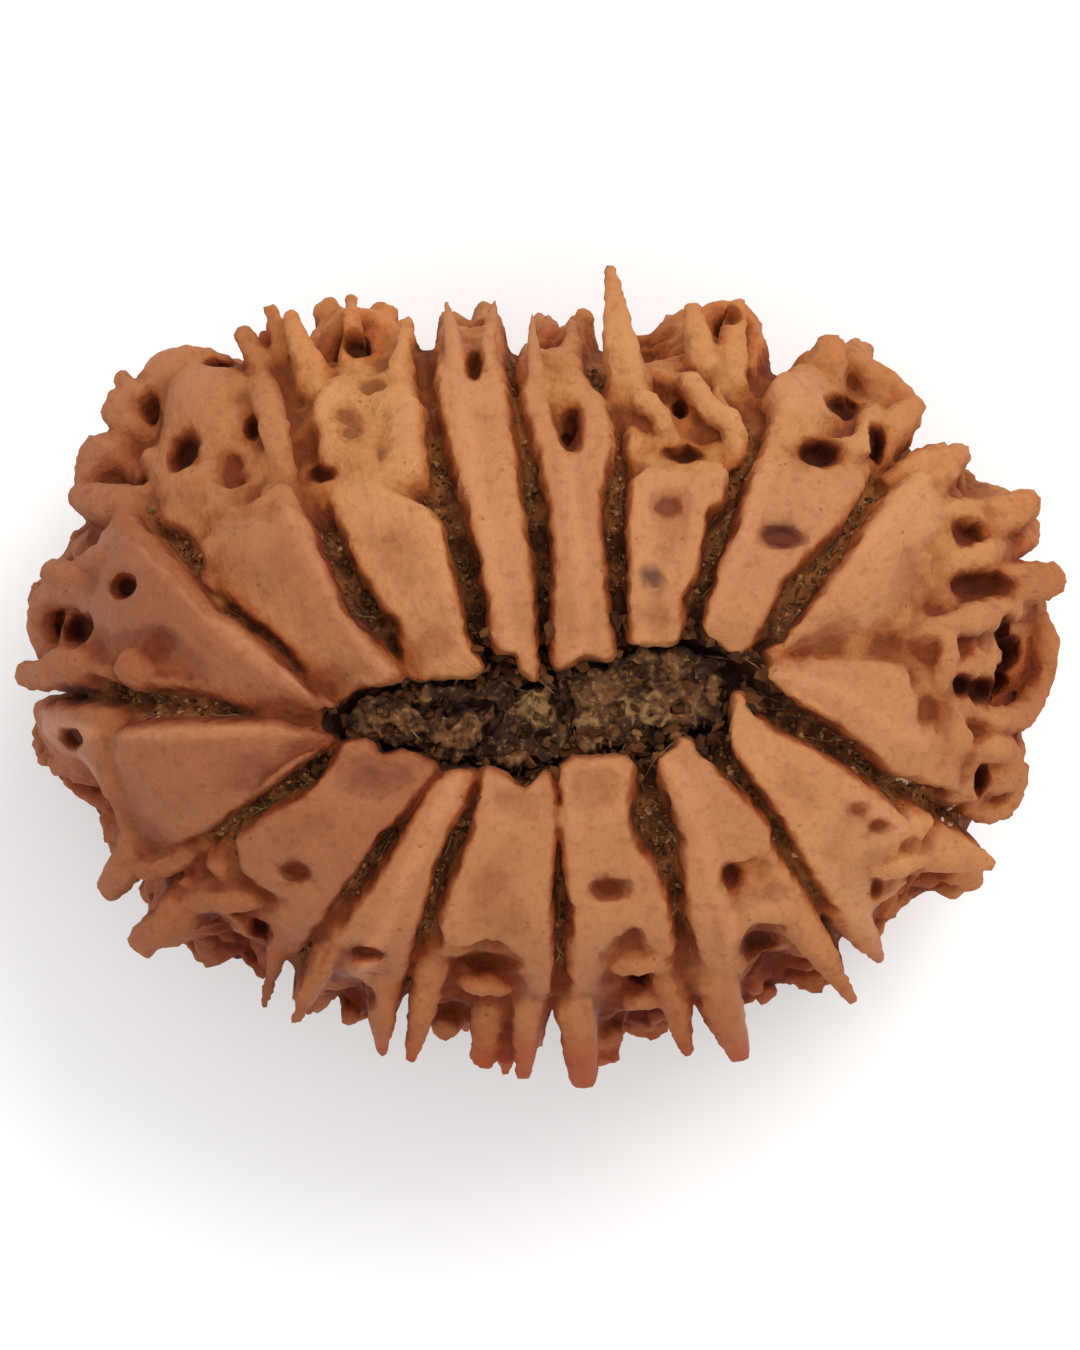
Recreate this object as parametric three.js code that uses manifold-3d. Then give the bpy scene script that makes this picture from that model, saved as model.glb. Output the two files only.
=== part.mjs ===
// Rudraksha seed: the dried stone of one fruit, with sixteen lobes round a long slot at each pole.
// It lies on its lower pole. Millimetres, +Z up, +X along the long side, seen from above in plan.
// The origin is the middle of the box round it, at the height of the surface it rests on.

import * as THREE from 'three';
import { mergeVertices } from 'three/addons/utils/BufferGeometryUtils.js';
import Module from 'manifold-3d';

const wasm = await Module();
wasm.setup();

// Driving dimensions of the stone, on the crests of its lobes
const HALF_LENGTH = 17.6;
const HALF_WIDTH = 12.9;
const EQUATOR_CENTRE = [0, 0.2];
const CORNER_FULLNESS = 0.05;
const SIDE_POWER = 0.9;
const POLE_DIMPLE = 0.7;
const DIMPLE_REACH = 0.12;

// Each pole is a slot: its height over the equator, half sizes, plan centre and turn
const UPPER_POLE = { side: 1, height: 11.8, halfLength: 7.3, halfWidth: 2.2, centre: [0, -1.0], turn: 7 };
const LOWER_POLE = { side: -1, height: 11.2, halfLength: 5.6, halfWidth: 1.9, centre: [0.3, 0.2], turn: -4 };
const SLOT_DEPTH = 2.4;
const SLOT_FLOOR_SHARE = 0.6;
const SLOT_FOOT_SHARE = 0.97;
const FLAT_SPOT_TRIM = 0.3;

// Relief, measured outwards from the crests
const TIER_LEVEL = -0.9;
const PLATE_ROOT = -1.7;
const GROOVE_LEVEL_AT_SLOT = -1.9;
const GROOVE_LEVEL_AT_RIM = -1.35;
const GROOVE_HALF_WIDTH = 0.5;
const BELT_LEVEL = -0.5;
const BELT_LUMP = 0.3;
const BELT_START = 0.6;
const BELT_FULL = 0.8;

// Facets of the body: rows of latitude, with five columns a lobe
const COLUMNS_PER_LOBE = 5;
const LATITUDES = 15;
const SLOT_ROWS = 3;
const PLATE_EDGE_LIMIT = 4;
const SHOULDER_SHARE = 0.975;
const GROOVE_SIDE_LIMIT = 0.24;
const TOP_COLUMNS = [0.36, 0.64];
const SLOPE_STEP = 0.03;
const INSIDE_SLOT_SHARE = -0.15;
const HALVINGS = 24;

// The lobes, counter-clockwise from the right-hand end. Each has the groove before it, from
// the slot through the middle to the rim, and the outline of the smooth plate on its crest.
const LOBES = [
  {
    groove: [[7.8, 0.6], [11.5, 1.2], [17.1, 4.0]],
    plate: [
      [8.2, 0.8], [9.2, 2.1], [10.3, 3.5], [11.2, 4.9], [12.6, 6.8], [14.2, 6.1],
      [13.9, 5.0], [13.3, 3.4], [13.0, 2.7], [11.9, 2.1], [10.4, 1.3], [9.4, 1.0],
    ],
  },
  {
    groove: [[7.2, 0.9], [10.3, 4.5], [12.8, 8.1]],
    plate: [
      [5.7, 1.7], [6.0, 2.8], [6.9, 5.1], [7.4, 6.9], [7.9, 7.6], [9.1, 7.2], [10.9, 7.4],
      [11.1, 6.9], [10.5, 5.7], [9.1, 4.3], [8.4, 3.6], [7.9, 2.6], [7.3, 1.3], [6.8, 0.9],
    ],
  },
  {
    groove: [[4.9, 1.4], [6.8, 7.1], [8.0, 10.7]],
    plate: [
      [3.2, 1.3], [3.2, 4.0], [3.3, 6.9], [3.9, 7.3], [5.6, 7.0], [6.4, 7.3],
      [6.3, 6.3], [5.7, 5.8], [5.3, 3.5], [4.8, 2.8], [4.9, 2.0], [4.7, 1.3],
    ],
  },
  {
    groove: [[2.6, 0.7], [2.7, 6.3], [2.1, 11.5]],
    plate: [
      [0.6, 0.4], [0.6, 5.8], [-0.3, 9.4], [-0.6, 11.1], [-0.3, 12.7],
      [0.2, 9.7], [0.6, 8.3], [1.1, 7.5], [1.4, 8.7], [1.6, 10.4], [2.2, 9.9],
      [2.5, 8.3], [2.1, 6.6], [2.0, 5.2], [2.2, 4.0], [2.3, 2.2], [2.6, 0.8], [1.5, 0.9],
    ],
  },
  {
    groove: [[0.4, 0.5], [-0.5, 6.3], [-0.9, 11.4]],
    plate: [
      [-1.5, 1.1], [-1.9, 4.2], [-2.9, 8.0], [-3.3, 9.9], [-3.4, 11.5], [-3.2, 12.9],
      [-2.6, 11.8], [-2.1, 11.4], [-1.7, 12.2], [-1.5, 12.9], [-1.3, 11.1], [-0.9, 8.3],
      [-0.7, 6.1], [-0.2, 2.8], [-0.1, 0.0], [-0.5, 0.4], [-0.6, 1.0],
    ],
  },
  {
    groove: [[-1.7, 0.5], [-3.0, 5.6], [-3.9, 11.5]],
    plate: [
      [-4.5, 0.1], [-4.6, 2.0], [-5.5, 3.0], [-6.5, 4.8], [-7.1, 6.4], [-6.7, 7.3], [-6.0, 7.1],
      [-4.8, 6.3], [-3.8, 5.8], [-3.4, 5.3], [-3.2, 4.2], [-2.8, 2.7], [-2.5, 1.2], [-1.9, 0.3],
    ],
  },
  {
    groove: [[-4.6, 0.2], [-7.6, 5.8], [-9.0, 12.3]],
    plate: [
      [-7.2, -0.8], [-8.3, 1.0], [-9.2, 1.9], [-10.4, 2.8], [-11.5, 3.7], [-11.8, 4.8],
      [-11.3, 5.5], [-10.2, 5.7], [-9.1, 5.4], [-8.6, 6.0], [-7.9, 5.2], [-7.4, 4.0],
      [-6.8, 2.4], [-5.9, 1.5], [-4.6, 0.1], [-6.2, -0.2],
    ],
  },
  {
    groove: [[-7.3, -0.7], [-12.0, 4.2], [-15.3, 8.2]],
    plate: [
      [-7.4, -1.1], [-7.9, -0.2], [-9.8, 1.6], [-11.4, 2.4], [-12.2, 3.4], [-14.3, 5.2],
      [-15.4, 5.1], [-15.6, 3.6], [-16.5, 3.1], [-16.2, 2.2], [-15.4, 1.1], [-14.4, 1.0],
      [-13.5, 1.4], [-12.3, 0.7], [-11.4, -0.3], [-9.6, -1.2], [-7.4, -1.5],
    ],
  },
  {
    groove: [[-7.4, -1.6], [-12.4, -0.9], [-17.3, -0.2]],
    plate: [
      [-7.0, -2.0], [-9.1, -1.5], [-12.3, -1.5], [-14.5, -1.7], [-14.6, -3.1], [-14.2, -4.2],
      [-13.8, -5.8], [-13.1, -6.0], [-11.7, -5.3], [-10.4, -4.4], [-9.1, -3.4], [-7.9, -2.5],
    ],
  },
  {
    groove: [[-6.9, -2.2], [-10.4, -4.9], [-13.2, -6.8]],
    plate: [
      [-6.6, -2.2], [-5.8, -2.2], [-4.5, -2.5], [-3.5, -3.0], [-4.1, -3.8], [-5.7, -5.5],
      [-6.5, -6.7], [-7.9, -8.9], [-8.4, -9.3], [-9.0, -9.1], [-9.1, -8.3], [-8.8, -7.6],
      [-9.6, -7.1], [-10.3, -5.6], [-9.1, -4.7], [-7.9, -4.0], [-7.1, -3.2],
    ],
  },
  {
    groove: [[-3.4, -3.1], [-5.8, -6.5], [-8.0, -10.0]],
    plate: [
      [-3.1, -3.2], [-2.2, -3.2], [-3.7, -6.5], [-4.5, -9.2], [-4.9, -11.1],
      [-5.4, -12.8], [-5.7, -11.9], [-5.6, -10.8], [-6.3, -10.3], [-6.9, -10.4], [-7.4, -10.8],
      [-8.4, -11.7], [-7.2, -9.6], [-5.7, -7.3], [-4.9, -6.0], [-4.1, -4.6],
    ],
  },
  {
    groove: [[-2.0, -3.0], [-3.2, -6.6], [-4.5, -11.3]],
    plate: [
      [-1.8, -3.1], [-1.0, -3.4], [-0.4, -3.8], [0.4, -3.2], [0.5, -5.2], [0.3, -7.6],
      [0.4, -9.7], [0.3, -11.5], [0.0, -12.9], [-0.6, -13.7], [-0.9, -13.0], [-0.6, -11.5],
      [-0.4, -10.3], [-0.7, -9.3], [-1.7, -8.9], [-3.2, -9.1], [-3.3, -8.4], [-2.8, -6.9],
      [-2.1, -5.2], [-1.9, -3.8],
    ],
  },
  {
    groove: [[0.7, -2.4], [0.6, -7.6], [0.5, -12.2]],
    plate: [
      [0.9, -2.8], [3.2, -2.7], [3.0, -5.0], [4.1, -6.9], [4.5, -8.5],
      [4.5, -9.5], [3.9, -9.0], [3.3, -8.5], [2.6, -8.9], [2.2, -9.9], [2.3, -11.1], [2.0, -12.2],
      [1.6, -13.8], [1.0, -12.5], [1.3, -8.2], [1.0, -6.4], [0.8, -4.6],
    ],
  },
  {
    groove: [[3.5, -2.5], [4.8, -6.9], [5.5, -11.1]],
    plate: [
      [4.1, -2.8], [5.1, -2.0], [5.6, -2.7], [6.8, -4.0], [7.9, -5.1], [8.0, -6.0], [7.2, -6.2],
      [6.5, -6.3], [6.2, -7.1], [6.6, -7.8], [7.6, -7.2], [8.6, -7.1], [9.2, -7.6], [8.1, -7.9],
      [7.2, -8.3], [6.7, -8.9], [6.8, -10.0], [7.5, -12.2], [7.3, -13.0], [6.3, -11.8],
      [5.7, -9.4], [5.3, -8.2], [5.2, -6.4], [4.9, -4.8],
    ],
  },
  {
    groove: [[5.4, -1.7], [8.4, -5.2], [10.5, -9.0]],
    plate: [
      [6.7, -0.3], [7.7, -1.6], [9.2, -2.4], [11.6, -3.9], [12.7, -4.8], [12.8, -5.2],
      [12.1, -6.0], [11.5, -6.7], [11.5, -7.6], [12.1, -8.5], [11.8, -9.7], [10.5, -8.1],
      [8.9, -5.3], [7.3, -3.0], [6.7, -2.2],
    ],
  },
  {
    groove: [[6.8, -0.1], [11.6, -3.2], [15.4, -5.1]],
    plate: [
      [7.9, 0.4], [9.6, 0.6], [11.2, 0.5], [12.6, 0.4], [12.9, -0.5], [13.2, -1.5],
      [13.8, -2.7], [13.6, -3.3], [12.3, -3.1], [11.2, -2.1], [10.1, -1.3], [8.7, -0.5],
    ],
  },
];

// Small plates of their own on the outer tier
const OUTER_PLATES = [
  [[-13.0, 9.9], [-12.1, 10.3], [-10.4, 10.5], [-10.9, 9.7], [-11.6, 8.9], [-12.8, 9.0]],
  [[-13.9, 7.5], [-13.1, 7.3], [-12.3, 6.9], [-12.0, 6.3], [-12.3, 5.6], [-13.0, 5.8], [-13.6, 6.4]],
  [[-5.1, 9.6], [-4.2, 9.7], [-4.1, 8.3], [-4.3, 7.3], [-4.9, 7.5]],
  [[8.2, 10.3], [9.1, 10.7], [10.0, 10.5], [9.9, 9.6], [9.4, 8.9], [8.4, 9.2]],
];

// Folds and arches of the rim, each a line in plan and half its thickness
const RIDGE_SWELL = 1.25;
const RIDGE_TAPER = 0.7;
const RIDGES = [
  [[[-9.6, 12.8], [-9.6, 11.1], [-9.1, 8.7], [-8.8, 7.0]], 0.5],
  [[[-14.2, 10.5], [-13.3, 11.1], [-12.1, 11.4], [-10.1, 11.3]], 0.42],
  [[[-7.6, 11.8], [-6.7, 12.6], [-5.3, 12.3], [-4.7, 11.4]], 0.42],
  [[[3.3, 11.2], [3.5, 9.9], [4.1, 9.3], [4.7, 8.6]], 0.4],
  [[[4.9, 10.9], [5.9, 9.4], [6.7, 8.9], [6.9, 7.6]], 0.42],
  [[[5.8, 11.5], [6.7, 12.7], [7.3, 11.3]], 0.45],
  [[[9.8, 8.9], [10.8, 8.0], [11.5, 9.0], [12.1, 10.0]], 0.42],
  [[[9.0, 10.9], [10.4, 11.3], [11.6, 10.7], [12.9, 9.3]], 0.56],
  [[[12.5, 7.2], [13.9, 7.7], [15.3, 7.2]], 0.56],
  [[[13.1, 6.2], [14.7, 5.8], [16.5, 6.3]], 0.52],
  [[[13.6, 4.0], [15.5, 4.4], [17.1, 5.3]], 0.52],
  [[[12.8, 1.4], [14.7, 2.0], [17.4, 3.1]], 0.52],
  [[[17.5, 3.1], [17.7, 1.4], [16.9, -0.7], [15.0, -1.2]], 0.55],
  [[[14.9, -3.0], [16.3, -2.7], [16.3, -4.3], [15.2, -4.7]], 0.5],
  [[[10.8, -7.2], [12.6, -6.3], [14.3, -6.1]], 0.52],
  [[[6.9, -10.3], [6.8, -9.1], [8.3, -8.5], [9.2, -9.3]], 0.45],
  [[[2.2, -10.6], [3.5, -9.8], [5.0, -10.6]], 0.42],
  [[[-6.7, -10.8], [-6.5, -9.9], [-5.6, -9.6], [-5.0, -10.4]], 0.4],
  [[[-13.2, -8.8], [-11.9, -7.7], [-10.4, -7.6], [-9.2, -7.8]], 0.45],
  [[[-17.0, -0.4], [-15.2, -0.3], [-13.5, -0.8]], 0.45],
  [[[-16.7, 0.7], [-17.2, 1.9], [-15.6, 2.8]], 0.45],
  [[[-15.7, 5.6], [-15.9, 6.9], [-15.4, 8.3]], 0.55],
];

// Horns and knobs of the rim: root and tip in plan, width at the root, and how blunt the tip is
const HORN_SEED = 5;
const HORN_ROOT_SINK = 0.6;
const HORN_DROP = [0.3, 0.85];
const HORN_HOOK = 0.12;
const HORN_TAPER_POWER = 1.4;
const HORN_TIP_ROUNDING = 0.75;
const SHARP_TIP = 0.5;
const RIM_HORNS = [
  [[-6.5, 11.5], [-6.5, 13.3], 1.0, 0.6],
  [[-8.7, 11.1], [-9.3, 12.9], 1.2, 0.6],
  [[-4.8, 10.9], [-4.5, 12.5], 1.0, 0.5],
  [[-2.6, 10.1], [-3.2, 13.1], 1.2, 0.25],
  [[-2.0, 10.1], [-1.5, 13.1], 1.0, 0.25],
  [[-0.1, 10.1], [-0.2, 12.7], 0.8, 0.25],
  [[1.0, 10.1], [1.2, 12.4], 1.3, 0.35],
  [[3.2, 10.1], [2.5, 14.2], 1.5, 0.2],
  [[6.0, 10.8], [5.3, 12.9], 1.5, 0.6],
  [[6.7, 10.9], [6.9, 13.1], 1.4, 0.6],
  [[10.3, 9.9], [10.3, 11.7], 2.6, 0.6],
  [[12.1, 8.7], [13.1, 9.6], 1.7, 0.7],
  [[13.4, 6.6], [14.6, 7.9], 1.9, 0.7],
  [[15.4, 5.4], [17.2, 6.2], 2.2, 0.7],
  [[16.7, 0.7], [18.0, 1.9], 2.0, 0.6],
  [[15.2, -3.6], [16.7, -3.3], 2.2, 0.7],
  [[13.1, -6.1], [15.7, -6.5], 2.0, 0.2],
  [[10.8, -8.2], [11.9, -9.7], 1.8, 0.3],
  [[8.8, -8.2], [10.9, -11.1], 1.6, 0.3],
  [[6.0, -9.9], [7.4, -13.0], 1.6, 0.5],
  [[4.7, -10.3], [5.4, -13.0], 1.4, 0.25],
  [[1.2, -10.8], [1.6, -13.9], 1.8, 0.75],
  [[-0.3, -10.8], [-0.5, -13.7], 1.6, 0.5],
  [[-1.4, -11.1], [-1.9, -13.2], 1.8, 0.7],
  [[-3.6, -10.1], [-4.4, -13.1], 1.5, 0.4],
  [[-5.7, -9.6], [-5.4, -12.9], 1.2, 0.2],
  [[-6.9, -9.0], [-8.4, -11.8], 1.4, 0.35],
  [[-8.8, -8.5], [-9.5, -11.3], 1.0, 0.3],
  [[-11.7, -7.8], [-13.8, -9.2], 2.2, 0.7],
  [[-13.8, -5.4], [-14.9, -7.3], 1.9, 0.7],
  [[-15.7, -2.3], [-17.2, -2.7], 2.1, 0.7],
  [[-16.1, -0.3], [-18.0, -0.1], 2.1, 0.5],
  [[-15.9, 2.1], [-17.7, 2.4], 2.1, 0.7],
  [[-15.6, 3.6], [-17.0, 3.8], 1.7, 0.7],
  [[-14.5, 6.3], [-16.0, 6.4], 2.0, 0.7],
  [[-14.7, 8.0], [-15.8, 8.2], 1.5, 0.7],
  [[-13.8, 9.2], [-15.0, 9.6], 1.4, 0.8],
];

// Pits of the upper side: middle in plan and half sizes along X and Y
const PITS = [
  [[-14.3, 3.2], 0.5, 0.5],
  [[-13.2, 1.0], 0.63, 0.5],
  [[-16.2, 1.6], 0.63, 0.69],
  [[-16.1, -2.0], 0.66, 0.5],
  [[-12.3, 8.0], 0.65, 0.76],
  [[-6.3, 11.6], 0.5, 0.5],
  [[-7.5, 7.2], 0.5, 0.4],
  [[1.2, 8.6], 0.45, 0.9],
  [[5.0, 7.8], 0.63, 0.45],
  [[8.4, 4.9], 0.76, 0.4],
  [[10.6, 9.6], 0.73, 0.5],
  [[9.7, 7.9], 0.87, 0.6],
  [[14.9, 4.8], 0.7, 0.56],
  [[15.7, 3.3], 1.1, 0.45],
  [[15.9, 0.6], 1.0, 1.1],
  [[15.5, -3.6], 0.4, 0.5],
  [[7.6, -9.2], 0.63, 0.63],
  [[2.5, -7.2], 0.6, 0.4],
  [[-1.8, -9.8], 1.1, 0.5],
  [[-5.9, -10.8], 0.4, 0.45],
  [[-8.3, -6.6], 0.6, 0.4],
  [[-11.2, -8.4], 0.83, 0.5],
];
const PIT_DEPTH = 1.5;
const PIT_SINK = 0.2;

// The flanks below the rim: knobs, pits and plain stretches drawn by rule for each lobe
const FLANK_SEED = 16;
const KNOB_CHANCE = 0.88;
const STRAY_KNOB_CHANCE = 0.12;
const KNOB_LEVEL = 0.1;
const KNOB_REACH_AT_ENDS = 0.3;
const KNOB_REACH_AT_SIDES = 1.1;
const HOLLOW_LEVEL = [-1.8, -1.1];
const LOWER_PLATE_EDGE = 0.62;
const LOWER_PLATE_SAG = -0.15;
const UPPER_BELT_EDGE = 0.93;

// The dried pith in each slot, about 0.3 clear of the stone all round
const UPPER_PITH_OUTLINE = [
  [-6.5, -1.3], [-6.3, -1.8], [-5.8, -1.85], [-4.4, -2.1], [-3.2, -2.8], [-1.8, -2.7],
  [-0.4, -2.75], [0.4, -2.6], [0.9, -2.4], [3.1, -2.1], [3.9, -2.0], [5.1, -1.6], [6.2, -1.4],
  [6.2, -0.2], [6.0, 0.5], [5.4, 0.9], [4.7, 0.9], [3.2, 0.8], [2.5, 0.3], [0.5, 0.0],
  [0.0, -0.45], [-0.6, -0.4], [-0.9, 0.2], [-2.0, -0.1], [-4.7, -0.35], [-5.9, -0.8],
];
const LOWER_PITH_SHARE = 0.8;
const LOWER_PITH_POINTS = 20;
const LOWER_PITH_WAVES = 5;
const LOWER_PITH_WAVE = 0.05;
const PITH_TOP_LEVEL = -1.0;
const PITH_FOOT_LEVEL = -2.0;
const PITH_LUMP = 0.25;
const PITH_LUMP_TURNS = [2.3, 2.9];
const PITH_EDGE_LIMIT = 1.3;

const SHELL_COLOUR = 0xc2855c;
const PITH_COLOUR = 0x3d3124;

const lerp = THREE.MathUtils.lerp;
const radians = THREE.MathUtils.degToRad;

// A repeatable stream of numbers between 0 and 1
function seededStream(seed) {
  const factor = 1664525;
  const offset = 1013904223;
  const span = 2 ** 32;
  let state = seed;
  return () => {
    state = (state * factor + offset) % span;
    return state / span;
  };
}

// Plan sizes of the level line at share 0, the edge of the slot, to 1, the equator
function levelLine(pole, share) {
  return {
    halfLength: lerp(pole.halfLength, HALF_LENGTH, share),
    halfWidth: lerp(pole.halfWidth, HALF_WIDTH, share),
    x: lerp(pole.centre[0], EQUATOR_CENTRE[0], share),
    y: lerp(pole.centre[1], EQUATOR_CENTRE[1], share),
    turn: radians(lerp(pole.turn, 0, share)),
  };
}

// How far the level lines swell past an ellipse towards their corners
function fullness(share, angle) {
  return 1 + CORNER_FULLNESS * Math.max(share, 0) * Math.sin(2 * angle) ** 2;
}

// Height of the crests over the equator on that level line
function crestHeight(pole, share) {
  const s = THREE.MathUtils.clamp(share, 0, 1);
  const dome = pole.height * (1 - s ** (2 / SIDE_POWER)) ** (SIDE_POWER / 2);
  return pole.side * (dome - POLE_DIMPLE * Math.exp(-((s / DIMPLE_REACH) ** 2)));
}

function crestPoint(pole, share, angle) {
  const line = levelLine(pole, share);
  const along = line.halfLength * fullness(share, angle) * Math.cos(angle);
  const across = line.halfWidth * fullness(share, angle) * Math.sin(angle);
  return new THREE.Vector3(
    line.x + along * Math.cos(line.turn) - across * Math.sin(line.turn),
    line.y + along * Math.sin(line.turn) + across * Math.cos(line.turn),
    crestHeight(pole, share),
  );
}

// The same crest by latitude, 90 degrees at the upper slot and -90 at the lower one
function poleOf(latitude) {
  return latitude >= 0 ? UPPER_POLE : LOWER_POLE;
}

function shareAt(latitude) {
  return Math.max(0, Math.cos(latitude)) ** SIDE_POWER;
}

function latitudeAt(pole, share) {
  return pole.side * Math.acos(THREE.MathUtils.clamp(share, 0, 1) ** (1 / SIDE_POWER));
}

function crestAt(latitude, angle) {
  return crestPoint(poleOf(latitude), shareAt(latitude), angle);
}

function normalAt(latitude, angle) {
  const north = crestAt(Math.min(latitude + SLOPE_STEP, Math.PI / 2), angle);
  const south = crestAt(Math.max(latitude - SLOPE_STEP, -Math.PI / 2), angle);
  const east = crestAt(latitude, angle + SLOPE_STEP);
  const west = crestAt(latitude, angle - SLOPE_STEP);
  return east.sub(west).cross(north.sub(south)).normalize();
}

function surfaceAt(latitude, angle, relief) {
  return crestAt(latitude, angle).addScaledVector(normalAt(latitude, angle), relief);
}

// Level line and angle of a plan point, found by halving the span of shares
function locate(pole, x, y) {
  let low = INSIDE_SLOT_SHARE;
  let high = 1;
  let angle = 0;
  for (let pass = 0; pass < HALVINGS; pass += 1) {
    const share = (low + high) / 2;
    const line = levelLine(pole, share);
    const dx = x - line.x;
    const dy = y - line.y;
    const along = (dx * Math.cos(line.turn) + dy * Math.sin(line.turn)) / line.halfLength;
    const across = (dy * Math.cos(line.turn) - dx * Math.sin(line.turn)) / line.halfWidth;
    angle = Math.atan2(across, along);
    if (Math.hypot(along, across) > fullness(share, angle)) {
      low = share;
    } else {
      high = share;
    }
  }
  return { share: low, angle };
}

// Outward direction of the crests at a plan point
function directionOver(pole, x, y) {
  const { share, angle } = locate(pole, x, y);
  if (share <= 0) {
    return new THREE.Vector3(0, 0, pole.side);
  }
  return normalAt(latitudeAt(pole, Math.min(share, SHOULDER_SHARE)), angle);
}

// A plan point put on the crests, or kept level with the shoulder where it stands past it
function pointOver(pole, x, y, relief) {
  const { share } = locate(pole, x, y);
  const height = crestHeight(pole, Math.min(share, SHOULDER_SHARE));
  return new THREE.Vector3(x, y, height).addScaledVector(directionOver(pole, x, y), relief);
}

// The root of a horn, drawn in to where the stone is full at that height
function rootUnder(pole, x, y, relief) {
  const { share, angle } = locate(pole, x, y);
  return surfaceAt(latitudeAt(pole, Math.min(share, SHOULDER_SHARE)), angle, relief);
}

// A closed three.js geometry as a solid that can be joined and cut
function solidOf(geometry) {
  geometry.deleteAttribute('normal');
  geometry.deleteAttribute('uv');
  const merged = mergeVertices(geometry, 1e-4);
  return new wasm.Manifold(new wasm.Mesh({
    numProp: 3,
    vertProperties: new Float32Array(merged.attributes.position.array),
    triVerts: new Uint32Array(merged.index.array),
  }));
}

function geometryOf(solid) {
  const mesh = solid.getMesh();
  const geometry = new THREE.BufferGeometry();
  geometry.setAttribute('position', new THREE.BufferAttribute(mesh.vertProperties, 3));
  geometry.setIndex(new THREE.BufferAttribute(mesh.triVerts, 1));
  return geometry;
}

function movePoints(geometry, move) {
  const position = geometry.attributes.position;
  for (let index = 0; index < position.count; index += 1) {
    const moved = move(new THREE.Vector3().fromBufferAttribute(position, index), index);
    position.setXYZ(index, moved.x, moved.y, moved.z);
  }
}

// Angle of groove number k at a latitude: through its plan points above, straight down below
const groovePlaces = LOBES.map(({ groove }) => groove.map(([x, y]) => locate(UPPER_POLE, x, y)));

function grooveAngle(k, latitude) {
  const lobeCount = LOBES.length;
  const turns = Math.floor(k / lobeCount);
  const [inner, middle, outer] = groovePlaces[k - turns * lobeCount];
  const share = shareAt(latitude);
  let angle = outer.angle;
  if (latitude > 0) {
    angle = share < middle.share
      ? alongArc(inner.angle, middle.angle, share / middle.share)
      : alongArc(middle.angle, outer.angle, (share - middle.share) / (outer.share - middle.share));
  }
  const base = Math.PI * 2 * ((k - turns * lobeCount) / lobeCount);
  return nearest(angle, base) + Math.PI * 2 * turns;
}

function alongArc(from, to, share) {
  return from + (nearest(to, from) - from) * THREE.MathUtils.clamp(share, 0, 1);
}

function nearest(angle, reference) {
  return angle - Math.PI * 2 * Math.round((angle - reference) / (Math.PI * 2));
}

function lobeAngle(lobe, across, latitude) {
  return lerp(grooveAngle(lobe, latitude), grooveAngle(lobe + 1, latitude), across);
}

// Where the five columns of a lobe stand across it: in the groove, at its two sides, and on top
function columnAcross(lobe, column, latitude) {
  const a = crestAt(latitude, grooveAngle(lobe, latitude));
  const b = crestAt(latitude, grooveAngle(lobe + 1, latitude));
  const side = Math.min(GROOVE_SIDE_LIMIT, GROOVE_HALF_WIDTH / a.distanceTo(b));
  return [0, side, ...TOP_COLUMNS, 1 - side][column];
}

function latitudeOfRow(row) {
  return Math.PI * (0.5 - row / (LATITUDES - 1));
}

// Level of the body's own surface in a row and a place across a lobe, from its groove to its top
function bodyRelief(row, place, angle, random) {
  const latitude = latitudeOfRow(row);
  const share = shareAt(latitude);
  const lump = 2 * random() - 1;
  const kind = random();
  const size = random();
  if (place === 0) {
    return lerp(GROOVE_LEVEL_AT_SLOT, GROOVE_LEVEL_AT_RIM, share);
  }
  const onSide = place === 1 || place === COLUMNS_PER_LOBE - 1;
  if (latitude > 0 && share < UPPER_BELT_EDGE) {
    const belt = THREE.MathUtils.smoothstep(share, BELT_START, BELT_FULL);
    return lerp(TIER_LEVEL, onSide ? TIER_LEVEL : BELT_LEVEL, belt) + BELT_LUMP * belt * lump;
  }
  if (share < LOWER_PLATE_EDGE) {
    return onSide ? LOWER_PLATE_SAG : 0;
  }
  if (onSide) {
    return TIER_LEVEL + BELT_LUMP * lump;
  }
  const chance = (row + place) % 2 === 0 ? KNOB_CHANCE : STRAY_KNOB_CHANCE;
  if (kind < chance) {
    const reach = lerp(KNOB_REACH_AT_ENDS, KNOB_REACH_AT_SIDES, Math.sin(angle) ** 2);
    return lerp(KNOB_LEVEL, reach, size);
  }
  return lerp(HOLLOW_LEVEL[0], HOLLOW_LEVEL[1], size);
}

// The body: a globe of facets with its rows and columns laid on the lobes and grooves
function makeBody() {
  const columns = LOBES.length * COLUMNS_PER_LOBE;
  const rows = LATITUDES - 1 + 2 * SLOT_ROWS;
  const random = seededStream(FLANK_SEED);
  const reliefs = Array.from({ length: LATITUDES * columns }, (_, index) => {
    const column = index % columns;
    const angle = (Math.PI * 2 * column) / columns;
    return bodyRelief(Math.floor(index / columns), column % COLUMNS_PER_LOBE, angle, random);
  });
  const globe = new THREE.SphereGeometry(1, columns, rows);
  movePoints(globe, (_, index) => {
    const row = Math.floor(index / (columns + 1));
    const column = (index % (columns + 1)) % columns;
    const lobe = Math.floor(column / COLUMNS_PER_LOBE);
    const step = THREE.MathUtils.clamp(row - SLOT_ROWS, 0, LATITUDES - 1);
    const latitude = latitudeOfRow(step);
    const across = columnAcross(lobe, column % COLUMNS_PER_LOBE, latitude);
    const angle = lobeAngle(lobe, across, latitude);
    const inwards = Math.min(row, rows - row);
    if (inwards < SLOT_ROWS) {
      return slotPoint(poleOf(latitude), angle, inwards);
    }
    return surfaceAt(latitude, angle, reliefs[step * columns + column]);
  });
  return solidOf(globe);
}

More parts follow.
